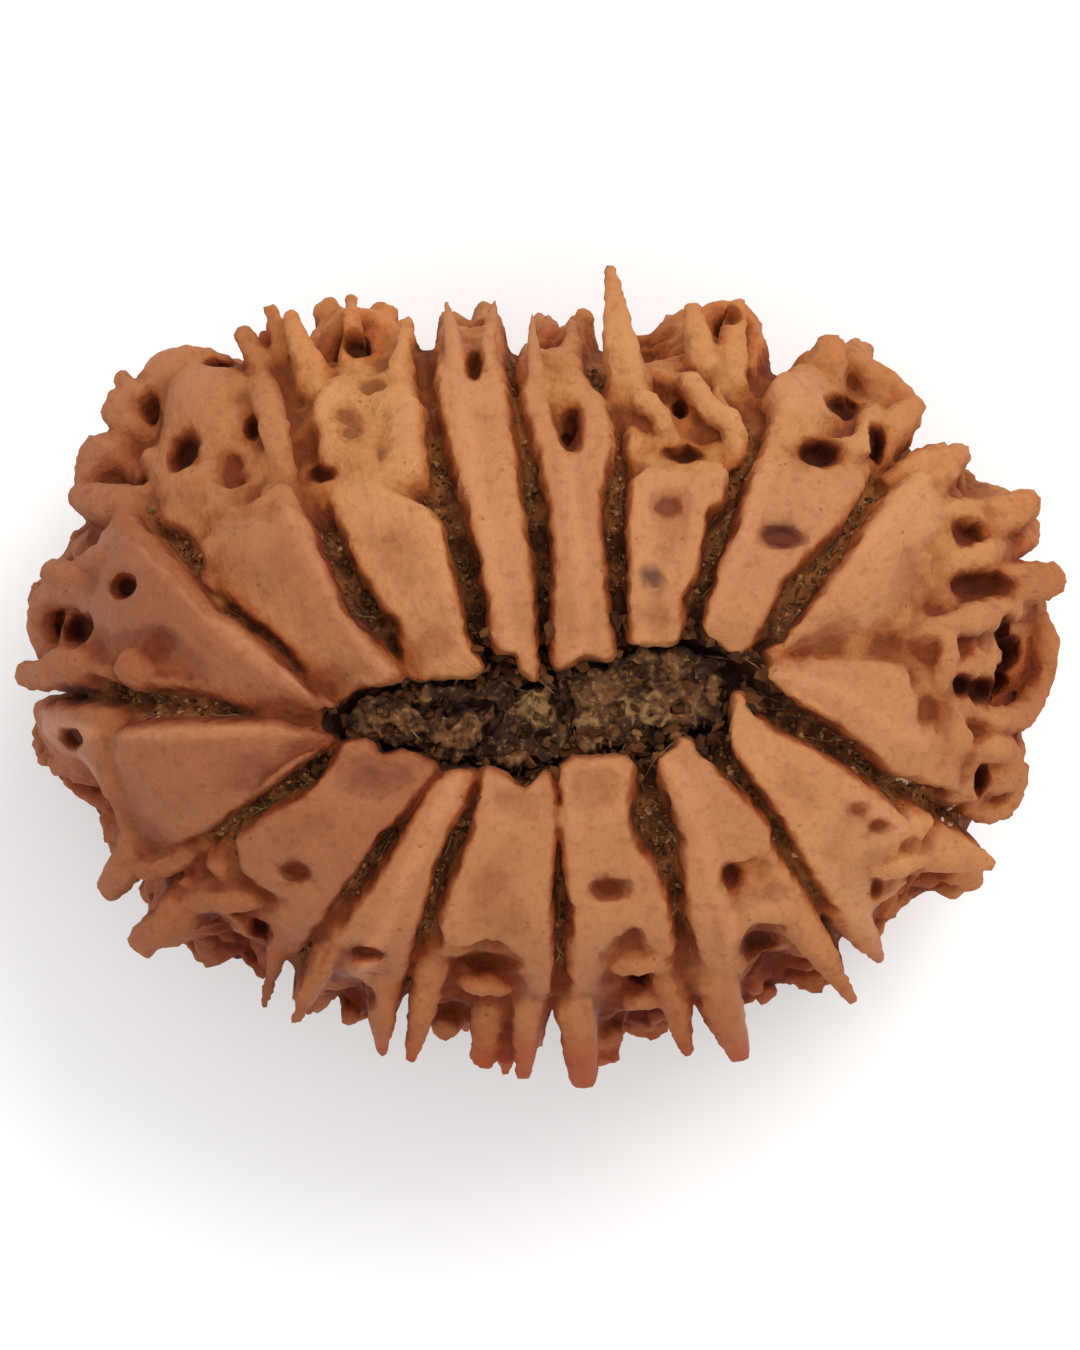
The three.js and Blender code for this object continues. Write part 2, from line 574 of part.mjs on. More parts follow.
// Points of the slot: its middle, its floor, and the foot of its wall
function slotPoint(pole, angle, inwards) {
  const middle = new THREE.Vector3(pole.centre[0], pole.centre[1], 0);
  const edge = crestPoint(pole, 0, angle);
  const reach = [0, SLOT_FLOOR_SHARE, SLOT_FOOT_SHARE][inwards];
  const point = middle.lerp(edge, reach);
  point.z = crestHeight(pole, 0) - pole.side * SLOT_DEPTH;
  return point;
}

// Halves every edge longer than the limit, in both triangles that share it
function splitLongEdges(geometry, limit) {
  const points = Array.from(geometry.attributes.position.array);
  let faces = Array.from(geometry.index.array);
  let found = true;
  while (found) {
    const middles = new Map();
    const middleOf = (a, b) => {
      const span = Math.hypot(points[3 * a] - points[3 * b], points[3 * a + 1] - points[3 * b + 1]);
      if (span <= limit) {
        return -1;
      }
      const key = a < b ? `${a} ${b}` : `${b} ${a}`;
      if (!middles.has(key)) {
        middles.set(key, points.length / 3);
        for (let axis = 0; axis < 3; axis += 1) {
          points.push((points[3 * a + axis] + points[3 * b + axis]) / 2);
        }
      }
      return middles.get(key);
    };
    const next = [];
    for (let face = 0; face < faces.length; face += 3) {
      let [a, b, c] = faces.slice(face, face + 3);
      let cuts = [middleOf(a, b), middleOf(b, c), middleOf(c, a)];
      const count = cuts.filter((cut) => cut >= 0).length;
      while (count > 0 && count < 3 && (cuts[0] < 0 || cuts[2] >= 0)) {
        [a, b, c] = [b, c, a];
        cuts = [cuts[1], cuts[2], cuts[0]];
      }
      const [ab, bc, ca] = cuts;
      if (count === 0) {
        next.push(a, b, c);
      } else if (count === 1) {
        next.push(a, ab, c, ab, b, c);
      } else if (count === 2) {
        next.push(a, ab, c, ab, bc, c, ab, b, bc);
      } else {
        next.push(a, ab, ca, ab, b, bc, ca, bc, c, ab, bc, ca);
      }
    }
    found = middles.size > 0;
    faces = next;
  }
  const split = new THREE.BufferGeometry();
  split.setAttribute('position', new THREE.Float32BufferAttribute(points, 3));
  split.setIndex(faces);
  return split;
}

// A plate: its plan outline, laid over the crests between two levels of relief
function makePlate(pole, outline, rootLevel, topLevel) {
  const shape = new THREE.Shape(outline.map(([x, y]) => new THREE.Vector2(x, y)));
  const slab = new THREE.ExtrudeGeometry(shape, { depth: 1, bevelEnabled: false });
  slab.deleteAttribute('normal');
  slab.deleteAttribute('uv');
  const split = splitLongEdges(mergeVertices(slab, 1e-4), PLATE_EDGE_LIMIT);
  const [foot, head] = pole.side > 0 ? [rootLevel, topLevel] : [topLevel, rootLevel];
  movePoints(split, ({ x, y, z }) => pointOver(pole, x, y, lerp(foot, head, z)));
  return solidOf(split);
}

// A round bar along a curve, thick as widthAt says at each share of its length
function makeBar(curve, widthAt, outwards, sides, steps) {
  const bar = new THREE.CylinderGeometry(1, 1, 1, sides, steps);
  movePoints(bar, ({ x, y, z }) => {
    const share = THREE.MathUtils.clamp(y + 0.5, 0, 1);
    const along = curve.getTangent(share);
    const across = along.clone().cross(outwards).normalize();
    const up = across.clone().cross(along).normalize();
    const width = widthAt(share);
    return curve.getPoint(share).addScaledVector(across, x * width).addScaledVector(up, z * width);
  });
  return solidOf(bar);
}

function makeRidge(line, halfThickness) {
  const points = line.map(([x, y]) => pointOver(UPPER_POLE, x, y, -halfThickness));
  const middle = line[Math.floor(line.length / 2)];
  const outwards = directionOver(UPPER_POLE, middle[0], middle[1]);
  const curve = new THREE.CatmullRomCurve3(points);
  const widthAt = (share) => halfThickness * (RIDGE_SWELL - RIDGE_TAPER * (2 * share - 1) ** 4);
  return makeBar(curve, widthAt, outwards, 4, line.length - 1);
}

// A horn from its root to its tip, sunk well in at the root and hooked a little at the tip
function makeHorn(root, tip, width, bluntness) {
  const up = new THREE.Vector3(0, 0, 1);
  const bend = root.clone().lerp(tip, 0.5).addScaledVector(up, HORN_HOOK * root.distanceTo(tip));
  const curve = new THREE.QuadraticBezierCurve3(root, bend, tip);
  const widthAt = (share) => {
    const taper = lerp(1, bluntness, share ** HORN_TAPER_POWER);
    return (width / 2) * taper * (share === 1 ? HORN_TIP_ROUNDING : 1);
  };
  const sides = 5;
  return makeBar(curve, widthAt, up, sides, bluntness < SHARP_TIP ? 2 : 1);
}

// A horn of the rim. The drop says how far its tip hangs from the height of its root to the shoulder
function makeRimHorn([root, tip, width, bluntness], drop) {
  const start = rootUnder(UPPER_POLE, root[0], root[1], -width * HORN_ROOT_SINK);
  const shoulder = crestHeight(UPPER_POLE, SHOULDER_SHARE);
  const tipHeight = lerp(start.z, Math.min(shoulder, start.z), drop);
  return makeHorn(start, new THREE.Vector3(tip[0], tip[1], tipHeight), width, bluntness);
}

function makePit(centre, outwards, halfX, halfY, depth) {
  const east = new THREE.Vector3(1, 0, 0).addScaledVector(outwards, -outwards.x).normalize();
  const north = outwards.clone().cross(east).normalize();
  const pit = new THREE.SphereGeometry(1, 5, 3);
  pit.applyMatrix4(new THREE.Matrix4().makeScale(halfX, halfY, depth));
  pit.applyMatrix4(new THREE.Matrix4().makeBasis(east, north, outwards));
  pit.translate(centre.x, centre.y, centre.z);
  return solidOf(pit);
}

// The stone: body, plates, folds and horns joined, and then the pits cut
function makeStone() {
  let stone = makeBody();
  for (const { plate } of LOBES) {
    stone = stone.add(makePlate(UPPER_POLE, plate, PLATE_ROOT, 0));
  }
  for (const outline of OUTER_PLATES) {
    stone = stone.add(makePlate(UPPER_POLE, outline, PLATE_ROOT, 0));
  }
  for (const [line, halfThickness] of RIDGES) {
    stone = stone.add(makeRidge(line, halfThickness));
  }
  const random = seededStream(HORN_SEED);
  for (const horn of RIM_HORNS) {
    stone = stone.add(makeRimHorn(horn, lerp(HORN_DROP[0], HORN_DROP[1], random())));
  }
  for (const [[x, y], halfX, halfY] of PITS) {
    const centre = pointOver(UPPER_POLE, x, y, -PIT_SINK);
    stone = stone.subtract(makePit(centre, directionOver(UPPER_POLE, x, y), halfX, halfY, PIT_DEPTH));
  }
  return stone;
}

// One plug of dried pith: a low lumpy cake in the slot, clear of its wall and of the plates
function makePith(pole, outline) {
  const shape = new THREE.Shape(outline.map(([x, y]) => new THREE.Vector2(x, y)));
  const slab = new THREE.ExtrudeGeometry(shape, { depth: 1, bevelEnabled: false });
  slab.deleteAttribute('normal');
  slab.deleteAttribute('uv');
  const cake = splitLongEdges(mergeVertices(slab, 1e-4), PITH_EDGE_LIMIT);
  const outer = pole.side > 0 ? 1 : 0;
  movePoints(cake, (point) => {
    const [turnX, turnY] = PITH_LUMP_TURNS;
    const lump = PITH_LUMP * Math.sin(turnX * point.x + point.y) * Math.cos(turnY * point.y - point.x);
    const level = lerp(PITH_FOOT_LEVEL, PITH_TOP_LEVEL + lump, 1 - Math.abs(point.z - outer));
    return new THREE.Vector3(point.x, point.y, crestHeight(pole, 0) + pole.side * level);
  });
  return solidOf(cake);
}

// The outline of the plug under the stone, which follows the slot with a wavy edge
function lowerPithOutline() {
  return Array.from({ length: LOWER_PITH_POINTS }, (_, index) => {
    const angle = (Math.PI * 2 * index) / LOWER_PITH_POINTS;
    const reach = LOWER_PITH_SHARE + LOWER_PITH_WAVE * Math.sin(LOWER_PITH_WAVES * angle);
    const middle = new THREE.Vector3(LOWER_POLE.centre[0], LOWER_POLE.centre[1], 0);
    const point = middle.lerp(crestPoint(LOWER_POLE, 0, angle), reach);
    return [point.x, point.y];
  });
}

// A box that takes the lowest crests off flat, where the stone rests
function makeTrimBox(floor) {
  const height = 4;
  const box = new THREE.BoxGeometry(4 * HALF_LENGTH, 4 * HALF_WIDTH, height);
  box.translate(0, 0, floor - height / 2);
  return solidOf(box);
}

function makeMesh(name, geometry, colour, shift) {
  geometry.translate(shift.x, shift.y, shift.z);
  const material = new THREE.MeshStandardMaterial({ color: colour, roughness: 0.8, metalness: 0 });
  const mesh = new THREE.Mesh(geometry, material);
  mesh.name = name;
  return mesh;
}

const roughStone = makeStone();
const roughBox = new THREE.Box3().setFromBufferAttribute(geometryOf(roughStone).attributes.position);
const stoneGeometry = geometryOf(roughStone.subtract(makeTrimBox(roughBox.min.z + FLAT_SPOT_TRIM)));
const stoneBox = new THREE.Box3().setFromBufferAttribute(stoneGeometry.attributes.position);
const shift = new THREE.Vector3(
  -(stoneBox.min.x + stoneBox.max.x) / 2,
  -(stoneBox.min.y + stoneBox.max.y) / 2,
  -stoneBox.min.z,
);

const upperPith = geometryOf(makePith(UPPER_POLE, UPPER_PITH_OUTLINE));
const lowerPith = geometryOf(makePith(LOWER_POLE, lowerPithOutline()));

const seed = new THREE.Group();
seed.add(makeMesh('seed_stone', stoneGeometry, SHELL_COLOUR, shift));
seed.add(makeMesh('pith_top', upperPith, PITH_COLOUR, shift));
seed.add(makeMesh('pith_base', lowerPith, PITH_COLOUR, shift));

export default seed;
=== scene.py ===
# Rudraksha seed: the dried stone of one fruit, lying on its lower pole on a pale floor.
# The tables are in millimetres, in plan from above, with +Y up the picture; meshes end in metres.
import math
import random

import bmesh
import bpy
import numpy as np
from mathutils import Matrix, Vector, noise
from mathutils.bvhtree import BVHTree
from mathutils.kdtree import KDTree


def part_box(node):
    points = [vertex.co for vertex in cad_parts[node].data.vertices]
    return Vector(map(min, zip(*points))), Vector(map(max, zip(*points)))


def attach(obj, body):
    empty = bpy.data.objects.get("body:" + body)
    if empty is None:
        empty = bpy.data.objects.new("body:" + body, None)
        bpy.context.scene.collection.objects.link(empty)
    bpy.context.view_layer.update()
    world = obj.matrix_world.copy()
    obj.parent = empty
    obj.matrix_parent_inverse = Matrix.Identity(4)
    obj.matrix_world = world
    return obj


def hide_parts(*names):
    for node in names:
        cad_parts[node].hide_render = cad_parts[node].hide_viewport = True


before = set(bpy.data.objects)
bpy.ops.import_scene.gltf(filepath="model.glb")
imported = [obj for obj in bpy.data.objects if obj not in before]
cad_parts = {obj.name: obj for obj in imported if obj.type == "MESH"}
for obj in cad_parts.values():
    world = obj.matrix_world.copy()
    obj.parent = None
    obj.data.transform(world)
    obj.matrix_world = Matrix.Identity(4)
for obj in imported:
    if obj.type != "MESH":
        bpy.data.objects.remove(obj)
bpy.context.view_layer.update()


# The stone. The woody endocarp of one fruit, grown as a single body: sixteen lobes round a long
# slot at each pole, a smooth plate on the crest of each lobe, deep grooves between them, and folds,
# horns and pits round the rim and down the flanks. It is fused with fine relief from one skin.
MM = 0.001
HALF_LENGTH = 17.6
HALF_WIDTH = 12.9
EQUATOR_CENTRE = (0, 0.2)
CORNER_FULLNESS = 0.05
SIDE_POWER = 0.9
POLE_DIMPLE = 0.7
DIMPLE_REACH = 0.12
SHOULDER_SHARE = 0.975
UPPER_POLE = {"side": 1, "height": 11.8, "half": (7.3, 2.2), "centre": (0, -1.0), "turn": 7}
LOWER_POLE = {"side": -1, "height": 11.2, "half": (5.6, 1.9), "centre": (0.3, 0.2), "turn": -4}
SLOT_DEPTH = 2.4

# The lobes, counter-clockwise from the right-hand end: the groove before each one and the share of
# the way to the rim where it fades (below 0 for a closed seam), where the plate's crest lies across
# it and how high its roof is, where the rough outer tier starts and how deep it lies, how light the
# lobe is (0 to 1), and the outline of the smooth plate
LOBES = [
    {"groove": [(7.8, 0.6), (11.5, 1.2), (17.1, 4.0)], "fades": -1, "crest": 0.85, "roof": 0.6,
     "tier": 0.62, "shelf": -0.3, "tone": 0.85, "plate": [
         (8.2, 0.8), (9.2, 2.1), (10.3, 3.5), (11.2, 4.9), (12.1, 6.1), (12.6, 6.8), (14.2, 6.1),
         (13.9, 5.0), (13.1, 4.5), (13.3, 3.4), (13.0, 2.7), (11.9, 2.1), (10.4, 1.3), (9.4, 1.0),
     ]},
    {"groove": [(7.2, 0.9), (10.3, 4.5), (12.8, 8.1)], "fades": 0.88, "crest": 0.8, "roof": 0.3,
     "tier": 0.6, "shelf": -0.5, "tone": 0.7, "plate": [
         (5.7, 1.7), (6.0, 2.8), (6.4, 4.0), (6.9, 5.1), (7.4, 6.9), (7.9, 7.6), (9.1, 7.2),
         (10.9, 7.4), (11.1, 6.9), (10.5, 5.7), (9.1, 4.3), (8.4, 3.6), (7.9, 2.6), (7.3, 1.3),
         (6.8, 0.9),
     ]},
    {"groove": [(4.9, 1.4), (6.8, 7.1), (8.0, 10.7)], "fades": 0.8, "crest": 0.5, "roof": -0.15,
     "tier": 0.55, "shelf": -0.6, "tone": 0.8, "plate": [
         (3.2, 1.3), (3.3, 2.1), (3.2, 4.0), (3.3, 6.9), (3.9, 7.3), (5.6, 7.0), (6.4, 7.3), (6.3, 6.3),
         (5.7, 5.8), (5.5, 4.6), (5.3, 3.5), (4.8, 2.8), (4.9, 2.0), (4.7, 1.3),
     ]},
    {"groove": [(2.6, 0.7), (2.7, 6.3), (2.1, 11.5)], "fades": 0.97, "crest": 0.5, "roof": 0.2,
     "tier": 0.72, "shelf": -0.35, "tone": 0.6, "plate": [
         (0.6, 0.4), (0.6, 2.4), (0.7, 3.5), (0.6, 5.8), (0.2, 7.6), (-0.3, 9.4), (-0.6, 11.1),
         (-0.3, 12.7), (0.1, 11.5), (0.2, 9.7), (0.6, 8.3), (1.1, 7.5), (1.4, 8.7), (1.6, 10.4),
         (2.2, 9.9), (2.5, 8.3), (2.1, 6.6), (2.0, 5.2), (2.2, 4.0), (2.3, 2.2), (2.6, 0.8), (1.5, 0.9),
     ]},
    {"groove": [(0.4, 0.5), (-0.5, 6.3), (-0.9, 11.4)], "fades": 0.97, "crest": 0.6, "roof": 0.2,
     "tier": 0.85, "shelf": -0.45, "tone": 0.65, "plate": [
         (-1.5, 1.1), (-1.6, 2.8), (-1.9, 4.2), (-2.4, 6.3), (-2.9, 8.0), (-3.3, 9.9), (-3.4, 11.5),
         (-3.2, 12.9), (-2.6, 11.8), (-2.1, 11.4), (-1.7, 12.2), (-1.5, 12.9), (-1.3, 11.1),
         (-1.1, 9.7), (-0.9, 8.3), (-0.7, 6.1), (-0.4, 4.5), (-0.2, 2.8), (-0.1, 0.0), (-0.5, 0.4),
         (-0.6, 1.0),
     ]},
    {"groove": [(-1.7, 0.5), (-3.0, 5.6), (-3.9, 11.5)], "fades": 0.72, "crest": 0.15, "roof": 0.6,
     "tier": 0.52, "shelf": -0.6, "tone": 0.95, "plate": [
         (-4.5, 0.1), (-4.6, 2.0), (-5.5, 3.0), (-6.5, 4.8), (-7.1, 6.4), (-6.7, 7.3), (-6.0, 7.1),
         (-4.8, 6.3), (-3.8, 5.8), (-3.4, 5.3), (-3.2, 4.2), (-2.8, 2.7), (-2.5, 1.2), (-1.9, 0.3),
     ]},
    {"groove": [(-4.6, 0.2), (-7.6, 5.8), (-9.0, 12.3)], "fades": 0.55, "crest": 0.15, "roof": 0.65,
     "tier": 0.55, "shelf": -0.6, "tone": 0.45, "plate": [
         (-7.2, -0.8), (-7.5, -0.1), (-8.3, 1.0), (-9.2, 1.9), (-10.4, 2.8), (-11.5, 3.7), (-11.8, 4.8),
         (-11.3, 5.5), (-10.2, 5.7), (-9.1, 5.4), (-8.6, 6.0), (-7.9, 5.2), (-7.4, 4.0), (-6.8, 2.4),
         (-5.9, 1.5), (-4.6, 0.1), (-6.2, -0.2), (-6.7, -0.7),
     ]},
    {"groove": [(-7.3, -0.7), (-12.0, 4.2), (-15.3, 8.2)], "fades": 0.97, "crest": 0.12, "roof": 0.65,
     "tier": 0.42, "shelf": -0.4, "tone": 0.05, "plate": [
         (-7.4, -1.1), (-7.9, -0.2), (-9.8, 1.6), (-11.4, 2.4), (-12.2, 3.4), (-14.3, 5.2),
         (-15.4, 5.1), (-15.6, 3.6), (-16.5, 3.1), (-16.2, 2.2), (-15.4, 1.1), (-14.4, 1.0),
         (-13.5, 1.4), (-12.3, 0.7), (-11.4, -0.3), (-9.6, -1.2), (-7.4, -1.5),
     ]},
    {"groove": [(-7.4, -1.6), (-12.4, -0.9), (-17.3, -0.2)], "fades": 0.97, "crest": 0.2, "roof": 0.3,
     "tier": 0.72, "shelf": -0.4, "tone": 0.1, "plate": [
         (-7.0, -2.0), (-9.1, -1.5), (-12.3, -1.5), (-14.5, -1.7), (-14.6, -3.1), (-14.2, -4.2),
         (-13.8, -5.8), (-13.1, -6.0), (-11.7, -5.3), (-10.4, -4.4), (-9.1, -3.4), (-7.9, -2.5),
     ]},
    {"groove": [(-6.9, -2.2), (-10.4, -4.9), (-13.2, -6.8)], "fades": 0.97, "crest": 0.5, "roof": -0.25,
     "tier": 0.62, "shelf": -0.5, "tone": 0.15, "plate": [
         (-6.6, -2.2), (-5.8, -2.2), (-5.4, -2.8), (-4.5, -2.5), (-3.5, -3.0), (-4.1, -3.8),
         (-5.7, -5.5), (-6.5, -6.7), (-7.2, -7.7), (-7.9, -8.9), (-8.4, -9.3), (-9.0, -9.1),
         (-9.1, -8.3), (-8.8, -7.6), (-9.6, -7.1), (-10.2, -6.5), (-10.3, -5.6), (-9.9, -5.3),
         (-9.1, -4.7), (-7.9, -4.0), (-7.1, -3.2),
     ]},
    {"groove": [(-3.4, -3.1), (-5.8, -6.5), (-8.0, -10.0)], "fades": 0.97, "crest": 0.5, "roof": 0.15,
     "tier": 0.78, "shelf": -0.45, "tone": 0.5, "plate": [
         (-3.1, -3.2), (-2.2, -3.2), (-2.6, -4.2), (-3.2, -5.3), (-3.7, -6.5), (-4.1, -8.0),
         (-4.5, -9.2), (-4.9, -11.1), (-5.4, -12.8), (-5.7, -11.9), (-5.6, -10.8), (-5.8, -10.4),
         (-6.3, -10.3), (-6.9, -10.4), (-7.4, -10.8), (-7.9, -11.6), (-8.4, -11.7), (-8.3, -11.1),
         (-7.8, -10.6), (-7.2, -9.6), (-6.5, -8.4), (-5.7, -7.3), (-4.9, -6.0), (-4.1, -4.6),
         (-3.5, -3.6),
     ]},
    {"groove": [(-2.0, -3.0), (-3.2, -6.6), (-4.5, -11.3)], "fades": 0.97, "crest": 0.5, "roof": -0.2,
     "tier": 0.65, "shelf": -0.5, "tone": 0.6, "plate": [
         (-1.8, -3.1), (-1.0, -3.4), (-0.4, -3.8), (0.4, -3.2), (0.5, -5.2), (0.3, -7.6), (0.4, -9.7),
         (0.3, -11.5), (0.0, -12.9), (-0.6, -13.7), (-0.9, -13.0), (-0.6, -11.5), (-0.4, -10.3),
         (-0.7, -9.3), (-1.7, -8.9), (-2.5, -9.2), (-3.2, -9.1), (-3.3, -8.4), (-2.8, -6.9),
         (-2.1, -5.2), (-1.9, -3.8),
     ]},
    {"groove": [(0.7, -2.4), (0.6, -7.6), (0.5, -12.2)], "fades": 0.97, "crest": 0.5, "roof": -0.1,
     "tier": 0.65, "shelf": -0.5, "tone": 0.65, "plate": [
         (0.9, -2.8), (3.2, -2.7), (3.0, -4.2), (3.0, -5.0), (3.4, -5.9), (4.1, -6.9), (4.5, -8.5),
         (4.5, -9.5), (3.9, -9.0), (3.3, -8.5), (2.6, -8.9), (2.2, -9.9), (2.3, -11.1), (2.0, -12.2),
         (1.6, -13.8), (1.0, -12.5), (1.1, -11.1), (1.3, -8.2), (1.0, -6.4), (0.8, -4.6),
     ]},
    {"groove": [(3.5, -2.5), (4.8, -6.9), (5.5, -11.1)], "fades": 0.97, "crest": 0.3, "roof": 0.25,
     "tier": 0.5, "shelf": -0.6, "tone": 0.65, "plate": [
         (4.1, -2.8), (5.1, -2.0), (5.6, -2.7), (6.8, -4.0), (7.9, -5.1), (8.0, -6.0), (7.2, -6.2),
         (6.5, -6.3), (6.2, -7.1), (6.6, -7.8), (7.6, -7.2), (8.6, -7.1), (9.2, -7.6), (9.0, -8.2),
         (8.1, -7.9), (7.2, -8.3), (6.7, -8.9), (6.8, -10.0), (7.2, -10.9), (7.5, -12.2), (7.3, -13.0),
         (6.3, -11.8), (5.9, -10.9), (5.7, -9.4), (5.3, -8.2), (5.2, -6.4), (4.9, -4.8),
     ]},
    {"groove": [(5.4, -1.7), (8.4, -5.2), (10.5, -9.0)], "fades": 0.97, "crest": 0.7, "roof": 0.3,
     "tier": 0.7, "shelf": -0.35, "tone": 1.0, "plate": [
         (6.7, -0.3), (7.7, -1.6), (9.2, -2.4), (10.4, -3.2), (11.6, -3.9), (12.7, -4.8), (12.8, -5.2),
         (12.1, -6.0), (11.5, -6.7), (11.5, -7.6), (12.1, -8.5), (11.8, -9.7), (10.5, -8.1),
         (9.5, -6.6), (8.9, -5.3), (8.2, -4.4), (7.3, -3.0), (6.7, -2.2),
     ]},
    {"groove": [(6.8, -0.1), (11.6, -3.2), (15.4, -5.1)], "fades": 0.97, "crest": 0.3, "roof": 0.25,
     "tier": 0.56, "shelf": -0.3, "tone": 0.65, "plate": [
         (7.9, 0.4), (9.6, 0.6), (11.2, 0.5), (12.6, 0.4), (12.9, -0.5), (13.2, -1.5), (13.8, -2.7),
         (13.6, -3.3), (12.3, -3.1), (11.2, -2.1), (10.1, -1.3), (8.7, -0.5),
     ]},
]
OUTER_PLATES = [
    [(-13.0, 9.9), (-12.1, 10.3), (-10.4, 10.5), (-10.9, 9.7), (-11.6, 8.9), (-12.8, 9.0)],
    [(-13.9, 7.5), (-13.1, 7.3), (-12.3, 6.9), (-12.0, 6.3), (-12.3, 5.6), (-13.0, 5.8), (-13.6, 6.4)],
    [(-5.1, 9.6), (-4.2, 9.7), (-4.1, 8.3), (-4.3, 7.3), (-4.9, 7.5)],
    [(8.2, 10.3), (9.1, 10.7), (10.0, 10.5), (9.9, 9.6), (9.4, 8.9), (8.4, 9.2)],
    [(-17.3, -0.9), (-15.1, -1.2), (-14.9, -2.4), (-15.3, -3.8), (-16.6, -3.1), (-17.3, -2.0)],
]

# Folds and arches of the rim: the line of each in plan and half its thickness
RIDGES = [
    ([(-9.6, 12.8), (-9.6, 11.1), (-9.1, 8.7), (-8.8, 7.0)], 0.49),
    ([(-14.2, 10.5), (-13.3, 11.0), (-12.1, 11.3), (-10.1, 11.2)], 0.62),
    ([(-7.6, 11.8), (-6.7, 12.6), (-5.3, 12.3), (-4.7, 11.4)], 0.42),
    ([(3.3, 11.2), (3.5, 9.9), (4.1, 9.3), (4.7, 8.6)], 0.38),
    ([(4.9, 10.9), (5.3, 10.3), (5.9, 9.4), (6.7, 8.9), (6.9, 7.6)], 0.42),
    ([(5.8, 11.5), (5.8, 12.6), (6.7, 12.9), (7.4, 12.4), (7.3, 11.3)], 0.38),
    ([(9.8, 8.9), (10.8, 8.0), (11.5, 9.0), (12.1, 10.0)], 0.42),
    ([(9.0, 10.9), (10.4, 11.3), (11.6, 10.7), (12.8, 9.7), (13.1, 8.9)], 0.56),
    ([(12.5, 7.2), (13.9, 7.7), (15.3, 7.2)], 0.56),
    ([(13.1, 6.2), (14.7, 5.8), (16.5, 6.3)], 0.52),
    ([(13.6, 4.0), (15.5, 4.4), (17.1, 5.3)], 0.52),
    ([(12.8, 1.4), (14.7, 2.0), (16.7, 2.7), (17.6, 3.3)], 0.52),
    ([(17.6, 3.1), (17.8, 1.4), (17.4, -0.3), (16.3, -1.4), (14.9, -1.2)], 0.46),
    ([(13.4, 2.2), (14.1, 1.6), (14.1, 0.5), (14.0, -0.6)], 0.36),
    ([(14.9, -3.0), (15.5, -2.4), (16.5, -3.1), (16.3, -4.3), (15.2, -4.7)], 0.45),
    ([(10.8, -7.2), (12.6, -6.3), (14.3, -6.1)], 0.52),
    ([(6.9, -10.3), (6.5, -9.2), (7.2, -8.1), (8.6, -8.1), (9.2, -9.0)], 0.42),
    ([(2.2, -10.6), (3.5, -9.8), (5.0, -10.6)], 0.42),
    ([(2.6, -11.8), (3.7, -11.1), (4.9, -11.6)], 0.35),
    ([(-3.1, -10.8), (-1.8, -10.6), (-0.6, -11.1)], 0.38),
    ([(-6.7, -10.8), (-6.5, -9.9), (-5.6, -9.6), (-5.0, -10.4)], 0.35),
    ([(-11.5, -7.8), (-10.7, -8.3), (-10.0, -9.1)], 0.35),
    ([(-13.2, -8.8), (-11.9, -7.7), (-10.4, -7.6), (-9.2, -7.8)], 0.45),
    ([(-9.4, -7.9), (-8.6, -8.2), (-8.4, -9.0)], 0.35),
    ([(-14.9, -5.9), (-13.5, -6.5), (-11.7, -5.9)], 0.49),
    ([(-17.7, 0.2), (-16.6, 0.6), (-15.1, 0.5)], 0.5),
    ([(-14.5, 0.7), (-14.0, 0.4), (-13.6, 0.0)], 0.6),
    ([(-16.4, 0.7), (-17.3, 1.3), (-17.3, 2.4), (-16.4, 3.1), (-15.3, 2.8)], 0.5),
    ([(-16.6, 3.6), (-15.2, 4.3), (-14.1, 4.9)], 0.45),
    ([(-15.7, 5.6), (-15.8, 6.9), (-15.3, 8.2), (-14.6, 8.6)], 0.66),
    ([(-14.9, 9.0), (-14.6, 9.7), (-13.8, 9.8)], 0.52),
]
THICK_FOLD = 0.6
THICK_FOLD_SINK = 0.7
FOLD_SINK = 0.35
FOLD_DIVE = 1.5
FOLD_SWELL = 1.15
FOLD_TAPER = 0.35

